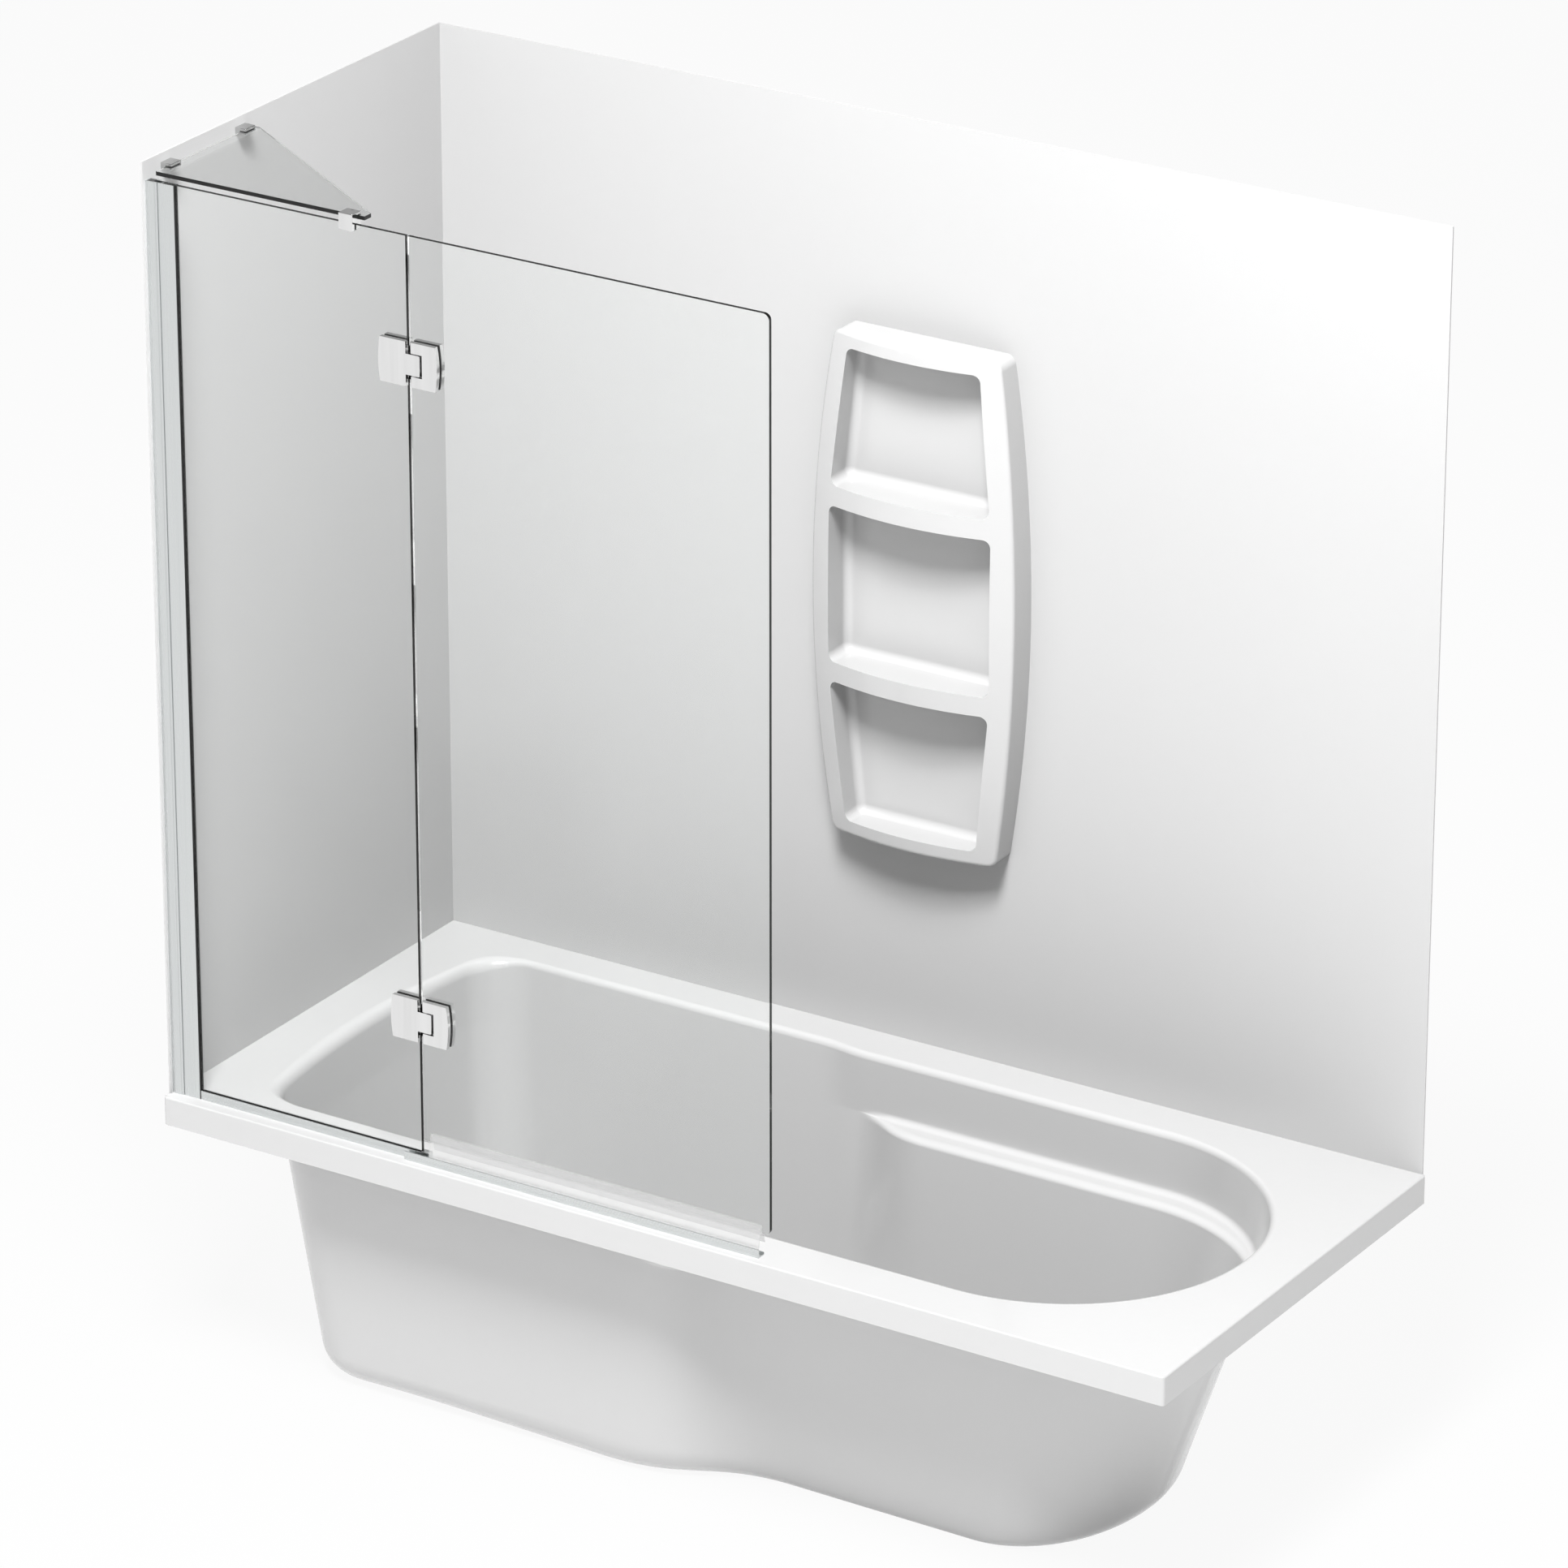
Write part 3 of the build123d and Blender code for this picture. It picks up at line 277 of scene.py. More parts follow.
def colour_between(tree, share, first, second):
    """Mix of two colour sockets by a share."""
    node = tree.nodes.new("ShaderNodeMix")
    node.data_type = "RGBA"
    tree.links.new(share, node.inputs["Factor"])
    tree.links.new(first, node.inputs["A"])
    tree.links.new(second, node.inputs["B"])
    return node.outputs["Result"]


print("noise is used from", NOISE_LOW, "to", NOISE_HIGH)

# %% [markdown]
# ### Moulded skin
# Acrylic is drawn over a mould while it is hot, so its gloss is never perfect: it has a slow ripple, like
# the skin of an orange, and its shine changes a little where it was wiped. Three noises of different sizes
# do it: one for the ripple, one for the shine and one for a very faint change of tone.

# %% Group: moulded skin
SKIN_TONE_SCALE = 2.4
SKIN_WIPE_SCALE = 9.0
SKIN_WIPE_DETAIL = 4.0


def make_moulded_skin():
    """Ripple, change of shine and faint change of tone of moulded plastic."""
    group, start, end = new_group(
        "moulded_skin",
        [
            ("Light Tone", COLOUR, (0.9, 0.9, 0.9, 1)),
            ("Dark Tone", COLOUR, (0.88, 0.88, 0.88, 1)),
            ("Ripple Scale", FLOAT, 90.0),
            ("Shiny", FLOAT, 0.12),
            ("Dull", FLOAT, 0.2),
        ],
        [("Tone", COLOUR), ("Roughness", FLOAT), ("Ripple", FLOAT)],
    )
    place = group.nodes.new("ShaderNodeTexCoord").outputs["Object"]
    tone = noise(group, place, SKIN_TONE_SCALE)
    wipe = noise(group, place, SKIN_WIPE_SCALE, SKIN_WIPE_DETAIL)
    ripple = noise(group, place, start.outputs["Ripple Scale"])
    colour = colour_between(group, tone, start.outputs["Light Tone"], start.outputs["Dark Tone"])
    shine = between(group, wipe, start.outputs["Shiny"], start.outputs["Dull"])
    group.links.new(colour, end.inputs["Tone"])
    group.links.new(shine, end.inputs["Roughness"])
    group.links.new(ripple, end.inputs["Ripple"])
    return group


moulded_skin = make_moulded_skin()
print("group", moulded_skin.name, [s.name for s in moulded_skin.interface.items_tree])

# %% [markdown]
# ### Drawn lines
# Aluminium profiles are pushed through a die and then anodised. The die leaves hair-fine lines along the
# profile. A noise that is stretched several hundred times along one axis gives such lines, so the group
# takes the stretch as a vector, and the same group serves upright and lying profiles.

# %% Group: drawn lines
LINE_DETAIL = 3.0


def make_drawn_lines():
    """Fine lines along a drawn profile."""
    group, start, end = new_group(
        "drawn_lines",
        [
            ("Stretch", VECTOR, (900.0, 900.0, 2.0)),
            ("Light Tone", COLOUR, (0.9, 0.9, 0.9, 1)),
            ("Dark Tone", COLOUR, (0.8, 0.8, 0.8, 1)),
            ("Shiny", FLOAT, 0.2),
            ("Dull", FLOAT, 0.3),
        ],
        [("Tone", COLOUR), ("Roughness", FLOAT), ("Lines", FLOAT)],
    )
    place = group.nodes.new("ShaderNodeTexCoord").outputs["Object"]
    stretch = group.nodes.new("ShaderNodeVectorMath")
    stretch.operation = "MULTIPLY"
    group.links.new(place, stretch.inputs[0])
    group.links.new(start.outputs["Stretch"], stretch.inputs[1])
    lines = noise(group, stretch.outputs["Vector"], 1.0, LINE_DETAIL)
    colour = colour_between(group, lines, start.outputs["Light Tone"], start.outputs["Dark Tone"])
    shine = between(group, lines, start.outputs["Shiny"], start.outputs["Dull"])
    group.links.new(colour, end.inputs["Tone"])
    group.links.new(shine, end.inputs["Roughness"])
    group.links.new(lines, end.inputs["Lines"])
    return group


drawn_lines = make_drawn_lines()
print("group", drawn_lines.name)

# %% [markdown]
# ### Painted shade on the edges of a pane
# Clear glass looks clear through its faces, and almost black where light enters through its narrow edge,
# because that light has a long way to go inside the sheet. A slab of perfect glass doesn't know this, so
# the
# group paints that shade: it looks at the direction of the surface and darkens the colour on the narrow
# edges. Only the edges on the room's side get the painted shade: a far edge is seen through the sheet and
# shows the white behind it.

# %% Group: painted shade on pane edges
FACE_TURN, EDGE_TURN = 0.9, 0.6
FAR_SIDE, ROOM_SIDE = 0.1, 0.3


def direction_share(group, normal, direction, size_only, first, last):
    """Zero to one as the normal's part along a direction goes from the first value to the last."""
    part = group.nodes.new("ShaderNodeVectorMath")
    part.operation = "DOT_PRODUCT"
    group.links.new(normal, part.inputs[0])
    group.links.new(direction, part.inputs[1])
    value = part.outputs["Value"]
    if size_only:
        size = group.nodes.new("ShaderNodeMath")
        size.operation = "ABSOLUTE"
        group.links.new(value, size.inputs[0])
        value = size.outputs[0]
    share = group.nodes.new("ShaderNodeMapRange")
    share.inputs["From Min"].default_value = first
    share.inputs["From Max"].default_value = last
    group.links.new(value, share.inputs["Value"])
    return share.outputs["Result"]


def make_pane_edge_shade():
    """Colour of a glass sheet, with painted shade on the narrow edges of the room's side."""
    group, start, end = new_group(
        "pane_edge_shade",
        [
            ("Sheet Normal", VECTOR, (0.0, 1.0, 0.0)),
            ("Dark Side", VECTOR, (0.577, -0.577, 0.577)),
            ("Face Tone", COLOUR, (1, 1, 1, 1)),
            ("Painted Edge Shade", COLOUR, (0, 0, 0, 1)),
        ],
        [("Tone", COLOUR)],
    )
    normal = group.nodes.new("ShaderNodeTexCoord").outputs["Normal"]
    narrow = direction_share(group, normal, start.outputs["Sheet Normal"], True, FACE_TURN, EDGE_TURN)
    near = direction_share(group, normal, start.outputs["Dark Side"], False, FAR_SIDE, ROOM_SIDE)
    # Mask of the painted shade: narrow edges on the room's side.
    both = group.nodes.new("ShaderNodeMath")
    both.operation = "MULTIPLY"
    group.links.new(narrow, both.inputs[0])
    group.links.new(near, both.inputs[1])
    colour = colour_between(group, both.outputs[0], start.outputs["Face Tone"], start.outputs["Painted Edge Shade"])
    group.links.new(colour, end.inputs["Tone"])
    return group


pane_edge_shade = make_pane_edge_shade()
print("group", pane_edge_shade.name)

# %% [markdown]
# ## Finishes
# Each finish is one Principled shader. Numbers that are the same all over the surface are set on the
# shader's own sockets. What changes over the surface comes from the groups.

# %% A helper for a finish
def grey(level):
    """Neutral grey colour."""
    return (level, level, level, 1.0)


def greys(light, dark):
    """Light and dark tone of a neutral finish."""
    return {"Light Tone": grey(light), "Dark Tone": grey(dark)}


def new_finish(name, group, values, shader_values, bump_from=None, bump=0.0):
    """Material with a Principled shader fed by one group."""
    material = bpy.data.materials.new(name)
    material.use_nodes = True
    tree = material.node_tree
    shader = tree.nodes["Principled BSDF"]
    effect = tree.nodes.new("ShaderNodeGroup")
    effect.node_tree = group
    for socket_name, value in values.items():
        effect.inputs[socket_name].default_value = value
    for socket_name, value in shader_values.items():
        shader.inputs[socket_name].default_value = value
    tree.links.new(effect.outputs["Tone"], shader.inputs["Base Color"])
    if "Roughness" in effect.outputs:
        tree.links.new(effect.outputs["Roughness"], shader.inputs["Roughness"])
    if bump_from:
        dent = tree.nodes.new("ShaderNodeBump")
        dent.inputs["Strength"].default_value = 1.0
        dent.inputs["Distance"].default_value = bump
        tree.links.new(effect.outputs[bump_from], dent.inputs["Height"])
        tree.links.new(dent.outputs["Normal"], shader.inputs["Normal"])
    return material


finishes = {}
print("the two tones of a white finish", greys(0.84, 0.83))

# %% [markdown]
# ### Acrylic
# The bath and the shelf are high-gloss acrylic with a clear top layer, so they get a coat. The lining
# sheets are pressed flat and a little less glossy. White faces that look at each other pass light to and
# fro until every fold is as bright as the open deck, and then no shape is left. So shade is painted into
# the folds: the colour is the true white where a face is seen, and a darker one where it only lights its
# neighbour, which makes the folds, the niches and the underside of the deck darker as painted shade.

# %% Acrylic finishes
# Share of the white kept for light that goes on to other faces; the rest is painted shade in the folds.
PASSED_ON = 0.15


def paint_fold_shade(material):
    """Painted shade in the folds: darkens the colour of a white finish for light that goes on to other
    faces.
    """
    tree = material.node_tree
    colour = tree.nodes["Principled BSDF"].inputs["Base Color"]
    path = tree.nodes.new("ShaderNodeLightPath")
    dimmed = tree.nodes.new("ShaderNodeMix")
    dimmed.data_type = "RGBA"
    dimmed.blend_type = "MULTIPLY"
    dimmed.inputs["B"].default_value = grey(PASSED_ON)
    # Painted shade: for diffuse rays the colour is multiplied by PASSED_ON.
    tree.links.new(path.outputs["Is Diffuse Ray"], dimmed.inputs["Factor"])
    tree.links.new(colour.links[0].from_socket, dimmed.inputs["A"])
    tree.links.new(dimmed.outputs["Result"], colour)
    return material


finishes["bath_acrylic"] = paint_fold_shade(
    new_finish(
        "bath_acrylic_gloss",
        moulded_skin,
        {**greys(0.84, 0.83), "Ripple Scale": 70.0, "Shiny": 0.16, "Dull": 0.24},
        {"Coat Weight": 0.35, "Coat Roughness": 0.06, "Coat IOR": 1.49, "IOR": 1.49},
        "Ripple",
        0.00012,
    )
)
finishes["lining_acrylic"] = paint_fold_shade(
    new_finish(
        "lining_acrylic_satin",
        moulded_skin,
        {**greys(0.84, 0.83), "Ripple Scale": 45.0, "Shiny": 0.3, "Dull": 0.4},
        {"IOR": 1.49},
        "Ripple",
        0.0001,
    )
)
print("finishes", sorted(finishes))

# %% [markdown]
# ### Metals
# Bright anodised aluminium for the profiles, polished chrome for the hinges, the glass clamp and the waste,
# a duller chrome for the two small clamps on the wall, and plain stainless steel for the screws, the pins
# and the plug's ring. Chrome shows what stands around it, and here that is a white studio. A plate is
# polished in one direction, so its shine has broad faint bands.

# %% Metal finishes
def aluminium(name, stretch):
    """Bright anodised aluminium with lines along one axis."""
    tones = {"Light Tone": (0.73, 0.75, 0.75, 1), "Dark Tone": (0.66, 0.68, 0.68, 1)}
    return new_finish(
        name,
        drawn_lines,
        {"Stretch": stretch, "Shiny": 0.24, "Dull": 0.34, **tones},
        {"Metallic": 1.0},
        "Lines",
        0.00001,
    )


def chrome(name, light, dark, shiny, dull):
    """Chrome with broad faint bands left by polishing."""
    return new_finish(
        name,
        drawn_lines,
        {"Stretch": (45.0, 45.0, 2.0), "Shiny": shiny, "Dull": dull, **greys(light, dark)},
        {"Metallic": 1.0},
    )


upright_aluminium = aluminium("profile_aluminium_upright", (900.0, 900.0, 2.0))
finishes["profile_aluminium"] = aluminium("profile_aluminium_lying", (2.0, 900.0, 900.0))
finishes["polished_chrome"] = chrome("polished_chrome_bright", 0.88, 0.68, 0.05, 0.12)
satin_chrome = chrome("polished_chrome_satin", 0.6, 0.5, 0.15, 0.25)
finishes["stainless_steel"] = new_finish(
    "stainless_steel_turned",
    moulded_skin,
    {**greys(0.66, 0.6), "Ripple Scale": 400.0, "Shiny": 0.22, "Dull": 0.36},
    {"Metallic": 1.0},
    "Ripple",
    0.00002,
)
print("finishes", sorted(finishes))

# %% [markdown]
# ### Rubber and dark plastic
# The gaskets and pads are black rubber, cut from a strand, and the cap on the profile is moulded plastic.
# Both are dark and matt, but rubber has a coarser skin and almost no shine, and plastic shows a little of
# the lamps. They differ only in the numbers of the same shader and the same group.

# %% Rubber and plastic finishes
finishes["black_rubber"] = new_finish(
    "black_rubber_matt",
    moulded_skin,
    {**greys(0.022, 0.014), "Ripple Scale": 700.0, "Shiny": 0.5, "Dull": 0.7},
    {"Specular IOR Level": 0.35},
    "Ripple",
    0.00005,
)
finishes["dark_plastic"] = new_finish(
    "dark_plastic_moulded",
    moulded_skin,
    {**greys(0.075, 0.055), "Ripple Scale": 900.0, "Shiny": 0.35, "Dull": 0.5},
    {},
    "Ripple",
    0.00005,
)
print("finishes", sorted(finishes))

# %% [markdown]
# ### Glass and clear seal
# A glass shader throws a full black shadow in a path tracer unless lamps are let through. So the pane is
# mixed with a Transparent shader, by the Light Path node, for shadow rays and for diffuse rays. The look of
# the glass itself doesn't change. The seal under the pane is soft clear vinyl, thin and a little milky.
# Real refraction in a lip that is pressed on glass on both sides only gives a dark band, so the seal gets
# its clearness from a low Alpha.

# %% Glass finishes
def let_light_through(material):
    """Mixes a finish with Transparent for shadow and diffuse rays."""
    tree = material.node_tree
    shader = tree.nodes["Principled BSDF"]
    out = tree.nodes["Material Output"]
    path = tree.nodes.new("ShaderNodeLightPath")
    either = tree.nodes.new("ShaderNodeMath")
    either.operation = "MAXIMUM"
    clear = tree.nodes.new("ShaderNodeBsdfTransparent")
    mix = tree.nodes.new("ShaderNodeMixShader")
    tree.links.new(path.outputs["Is Shadow Ray"], either.inputs[0])
    tree.links.new(path.outputs["Is Diffuse Ray"], either.inputs[1])
    tree.links.new(either.outputs[0], mix.inputs[0])
    tree.links.new(shader.outputs[0], mix.inputs[1])
    tree.links.new(clear.outputs[0], mix.inputs[2])
    tree.links.new(mix.outputs[0], out.inputs["Surface"])
    return material


def glass(name, sheet_normal, face_tone):
    """Clear toughened glass in a sheet with the given normal."""
    # Painted shade: the near black colour that the room-side edges get.
    tones = {"Face Tone": face_tone, "Painted Edge Shade": (0.001, 0.0015, 0.0012, 1)}
    return let_light_through(
        new_finish(
            name,
            pane_edge_shade,
            {"Sheet Normal": sheet_normal, **tones},
            {"Transmission Weight": 1.0, "Roughness": 0.0, "IOR": 1.45},
        )
    )


finishes["clear_glass"] = glass("clear_glass_upright", (0.0, 1.0, 0.0), (0.985, 0.995, 0.99, 1))
brace_finish = glass("clear_glass_flat", (0.0, 0.0, 1.0), (0.92, 0.93, 0.925, 1))
finishes["clear_seal"] = let_light_through(
    new_finish(
        "clear_seal_vinyl",
        moulded_skin,
        {**greys(0.8, 0.74), "Ripple Scale": 300.0, "Shiny": 0.12, "Dull": 0.25},
        {"Alpha": 0.3, "IOR": 1.4},
        "Ripple",
        0.0001,
    )
)
print("finishes", sorted(finishes))

# %% [markdown]
# ## The bath
# The CAD bath is exact, but the edges of its armrest ledge are sharp, and real acrylic never is: the hot
# sheet rounds every corner it is drawn over. One way to soften it is a bevel, but a bevel can't die out
# where the ledge runs into the wall. So the skin is built again from its own drawing, which has four
# outlines: the rim, the back line of the ledge, its front line and the edge of the floor. Around them stand
# 480 stations, each with its own profile from the deck down to the floor, and each corner of each profile
# is rounded as far as its own straight parts allow.

# %% Sizes of the bath
DECK_Z = 0.470
LEDGE_Z = 0.375
WALL = 0.006
LEFT_EDGE, RIGHT_EDGE, FRONT_EDGE, BACK_EDGE = -0.85, 0.85, -0.38, 0.38
FASCIA = 0.045
END_CENTRE = 0.4645
LEFT_BOW = 0.032
CORNER_RADIUS = 0.080
WAIST_CURVE = (-0.093, 0.103)
OPENING_CURVE = (-0.147, -0.047)
LEDGE_CURVE = (-0.095, 0.075)
FLOOR_WAIST_CURVE = (-0.145, 0.155)
FLOOR_LEDGE_CURVE = (-0.147, 0.127)
WASTE = (-0.519, 0.0035)
WASTE_HOLE = 0.026

RIM_OUTLINE = dict(
    left=-0.754, front=-0.293, waist=-0.293, back=0.300, shower_back=0.309, reach=0.2965,
    front_curve=WAIST_CURVE, back_curve=OPENING_CURVE,
)
UPPER_OUTLINE = dict(
    left=-0.746, front=-0.285, waist=-0.285, back=0.295, shower_back=0.297, reach=0.274,
    front_curve=WAIST_CURVE, back_curve=OPENING_CURVE,
)
LOWER_OUTLINE = dict(
    left=-0.746, front=-0.285, waist=-0.230, back=0.254, shower_back=0.297, reach=0.268,
    front_curve=WAIST_CURVE, back_curve=LEDGE_CURVE,
)
FLOOR_OUTLINE = dict(
    left=-0.702, front=-0.252, waist=-0.172, back=0.221, shower_back=0.250, reach=0.136,
    front_curve=FLOOR_WAIST_CURVE, back_curve=FLOOR_LEDGE_CURVE,
)
print("deck", RIGHT_EDGE - LEFT_EDGE, "by", BACK_EDGE - FRONT_EDGE, "m")
print("armrest ledge", round(DECK_Z - LEDGE_Z, 3), "m below the deck")

# %% [markdown]
# ### One outline
# All outlines have the same stations in the same order, so station 100 of one lies above station 100 of the
# next. Along the two long sides, from the waist to the round end, the stations have the same x at every
# height, so each profile there is flat, as a cut through the real bath would be.

# %% Two curves
CURVE_SAMPLES = 201


def soft_step(share):
    """Zero to one, with a soft start and a soft end."""
    return 3 * share**2 - 2 * share**3


def s_curve(x, curve, before, after):
    """Soft step from one value to another over a stretch of x, drawn as a Bezier curve."""
    start, stop = curve
    t = np.linspace(0, 1, CURVE_SAMPLES)
    middle = (start + stop) / 2
    curve_x = (1 - t) ** 3 * start + 3 * t * (1 - t) * middle + t**3 * stop
    return before + (after - before) * np.interp(x, curve_x, soft_step(t))


def arc(centre, radius_x, radius_y, first, last, count):
    """Points on an ellipse between two angles, without the last one."""
    angle = np.linspace(first, last, count, endpoint=False)
    return np.stack([centre[0] + radius_x * np.cos(angle), centre[1] + radius_y * np.sin(angle)], 1)


print("the waist step is half done at x =", sum(WAIST_CURVE) / 2)

# %% Stations around an outline
SPLIT_X = -0.250
LEAD_STATIONS, SIDE_STATIONS, END_STATIONS, CORNER_STATIONS, BOW_STATIONS = 34, 130, 72, 18, 44


def outline(left, front, waist, back, shower_back, reach, front_curve, back_curve, grow=0.0):
    """Stations around the basin at one height, anticlockwise from the front left, grown outwards."""
    left, front, waist = left - grow, front - grow, waist - grow
    back, shower_back, reach = back + grow, shower_back + grow, reach + grow
    corner = CORNER_RADIUS + grow
    middle = (front + shower_back) / 2
    half = (shower_back - front) / 2
    bow = (half**2 + LEFT_BOW**2) / (2 * LEFT_BOW)
    bow_x = left + bow
    rise = half - corner
    corner_x = bow_x - sqrt((bow - corner) ** 2 - rise**2)
    lean = atan2(rise, bow_x - corner_x)
    lead = np.linspace(corner_x, SPLIT_X, LEAD_STATIONS, endpoint=False)
    side = np.linspace(SPLIT_X, END_CENTRE, SIDE_STATIONS, endpoint=False)
    front_x = np.concatenate([lead, side])
    back_x = np.concatenate([[END_CENTRE], side[:0:-1], [SPLIT_X], lead[:0:-1]])
    end_half = (back - waist) / 2
    return np.concatenate(
        [
            np.stack([front_x, s_curve(front_x, front_curve, front, waist)], 1),
            arc((END_CENTRE, (back + waist) / 2), reach, end_half, -pi / 2, pi / 2, END_STATIONS),
            np.stack([back_x, s_curve(back_x, back_curve, shower_back, back)], 1),
            arc((corner_x, middle + rise), corner, corner, pi / 2, pi - lean, CORNER_STATIONS),
            arc((bow_x, middle), bow, bow, pi - lean, pi + lean, BOW_STATIONS),
            arc((corner_x, middle - rise), corner, corner, pi + lean, 3 * pi / 2, CORNER_STATIONS),
        ]
    )


print("stations", len(outline(**RIM_OUTLINE)))

# %% [markdown]
# ### Round corners of a profile
# A corner is rounded with a curve that starts on one straight part and ends on the other. Where the
# straight part is shorter than the rounding needs, the rounding shrinks with it. That is how the ledge
# fades into the wall.

# %% Rounding
REACH = 0.49
TINY = 1e-9


def at_height(points, z):
    """Adds a height to flat points."""
    return np.column_stack([points, np.full(len(points), z)])


def length(vectors):
    """Length of each vector, as a column."""
    return np.linalg.norm(vectors, axis=1, keepdims=True)


def along(start, stop, distance):
    """Points at a distance from start towards stop, at most almost half way."""
    gap = length(stop - start)
    step = np.minimum(distance, REACH * gap)
    return start + (stop - start) * step / np.maximum(gap, TINY)


def rounded(before, corner, after, radius, count):
    """Rings around a rounded corner of all the profiles, from one straight part to the other."""
    first, last = along(corner, before, radius), along(corner, after, radius)
    one = (first - corner) / np.maximum(length(first - corner), TINY)
    two = (last - corner) / np.maximum(length(last - corner), TINY)
    opening = np.arccos(np.clip((one * two).sum(1, keepdims=True), -1, 1))
    weight = np.sin(opening / 2)
    rings = []
    for t in np.linspace(0, 1, count):
        a, b, c = (1 - t) ** 2, 2 * t * (1 - t) * weight, t**2
        rings.append((a * first + b * corner + c * last) / (a + b + c))
    return rings


def spread(rings, count):
    """The same profiles with their points spread evenly along each."""
    stack = np.array(rings)
    steps = np.linalg.norm(np.diff(stack, axis=0), axis=2)
    run = np.concatenate([np.zeros((1, steps.shape[1])), np.cumsum(steps, axis=0)])
    run /= run[-1]
    places = np.linspace(0, 1, count)
    spread_out = np.empty((count,) + stack.shape[1:])
    for station in range(stack.shape[1]):
        for axis in range(3):
            spread_out[:, station, axis] = np.interp(places, run[:, station], stack[:, station, axis])
    return list(spread_out)


def straight(start, stop, count):
    """Rings between two rings, without the two themselves."""
    return [start + (stop - start) * t for t in np.linspace(0, 1, count + 2)[1:-1]]


print("a rounding takes at most", REACH, "of each straight part")

# %% [markdown]
# ### The armrest ledge
# The ledge lies between two outlines at one height. Where the two meet, its width falls softly to zero, so
# the ledge has no sudden end. Where they would cross, there is no ledge and the two lines are one.

# %% Lines of the ledge
LEDGE_SOFTNESS = 0.0025


def soft_gap(gap):
    """Gap that starts softly at zero and stays zero where the two outlines cross."""
    return np.where(gap > 0, np.sqrt(gap**2 + LEDGE_SOFTNESS**2) - LEDGE_SOFTNESS, 0.0)


def ledge_rings(grow):
    """Back and front line of the ledge at every station. Where there is no ledge the two are one line."""
    upper = outline(**UPPER_OUTLINE, grow=grow)
    lower = outline(**LOWER_OUTLINE, grow=grow)
    towards = lower - upper
    gap = np.linalg.norm(towards, axis=1)
    outside = (towards * upper * (0.0, 1.0)).sum(1) > 0
    gap_seen = soft_gap(np.where(outside, 0.0, gap))
    scale = gap_seen / np.maximum(gap, TINY)
    return upper, upper + towards * scale[:, None]


ledge_width = np.linalg.norm(np.subtract(*ledge_rings(0.0)), axis=1)
print("widest part of the ledge", round(float(ledge_width.max()), 4), "m")

# %% [markdown]
# ### A softer rim at the bowed end
# At the bowed end the deck runs down into the basin without a clear line, so the rim's radius is larger
# there. It grows over 60 mm and not at one station, or the shine would show a kink.

# %% Softer rim at the bowed end
RIM_EXTRA = 0.009
EXTRA_FROM_X, EXTRA_FULL_X = -0.67, -0.73


def end_extra(rim):
    """Extra radius of the rim at the bowed end, where the deck runs softly down into the basin."""
    share = np.clip((EXTRA_FROM_X - rim[:, :1]) / (EXTRA_FROM_X - EXTRA_FULL_X), 0, 1)
    return RIM_EXTRA * soft_step(share)


print("the rim's radius grows by up to", RIM_EXTRA, "m from x =", EXTRA_FROM_X, "to", EXTRA_FULL_X)

# %% [markdown]
# ### The skin from the rim down to the floor
# The same recipe makes the inside and the outside of the bath. The outside is grown by one wall thickness:
# it lies that much lower and wider, and each round corner is larger or smaller by as much. Each part of the
# profile gets its own number of rings: many over the ledge, few on the plain wall.

# %% Inside and outside of the basin
LEDGE_LEAD = 0.018
RIM_RADIUS, LEDGE_BACK_RADIUS, LEDGE_FRONT_RADIUS, FLOOR_RADIUS = 0.010, 0.011, 0.014, 0.044
RIM_RINGS, LEDGE_CORNER_RINGS, FLOOR_CORNER_RINGS = 11, 14, 16
WALL_RINGS, LEDGE_RINGS, DEEP_RINGS, FLOOR_RINGS = 2, 44, 7, 8


def basin_rings(grow):
    """Rings from the rim to the flat of the floor, grown outwards and downwards."""
    rim_z, ledge_z, floor_z = DECK_Z - grow, LEDGE_Z - grow, WALL - grow
    rim = at_height(outline(**RIM_OUTLINE, grow=grow), rim_z)
    rim_radius = RIM_RADIUS - grow + end_extra(rim)
    back_radius, front_radius = LEDGE_BACK_RADIUS + grow, LEDGE_FRONT_RADIUS - grow
    floor_radius = FLOOR_RADIUS + grow
    upper, lower = ledge_rings(grow)
    upper, lower = at_height(upper, ledge_z), at_height(lower, ledge_z)
    floor = at_height(outline(**FLOOR_OUTLINE, grow=grow), floor_z)
    outwards = at_height(rim[:, :2] * 2 - outline(**UPPER_OUTLINE, grow=grow), rim_z)
    inner_floor = at_height((floor[:, :2] + np.array(WASTE)) / 2, floor_z)
    deck_point = rim + (outwards - rim) / length(outwards - rim) * 2 * rim_radius
    top = rounded(deck_point, rim, upper, rim_radius, RIM_RINGS)
    wall_end = along(upper, rim, LEDGE_LEAD)
    lower_start = along(lower, floor, LEDGE_LEAD)
    ledge = [wall_end]
    ledge += rounded(wall_end, upper, lower, back_radius, LEDGE_CORNER_RINGS)
    ledge += rounded(upper, lower, lower_start, front_radius, LEDGE_CORNER_RINGS)
    ledge += [lower_start]
    bottom = rounded(lower_start, floor, inner_floor, floor_radius, FLOOR_CORNER_RINGS)
    wall = straight(top[-1], wall_end, WALL_RINGS)
    deep = straight(lower_start, bottom[0], DEEP_RINGS)
    return top + wall + spread(ledge, LEDGE_RINGS) + deep + bottom


inside = basin_rings(0.0)
outside = basin_rings(WALL)
print("rings inside", len(inside), "rings outside", len(outside))

# %% [markdown]
# ### The deck and its fascia
# The opening is a free curve and the deck is a rectangle, so the stations have to be shared out along the
# rectangle's four sides. Each corner of the rectangle takes seven stations, which draw its small radius.

# %% Stations on the rectangle
CORNER_HALF = 3


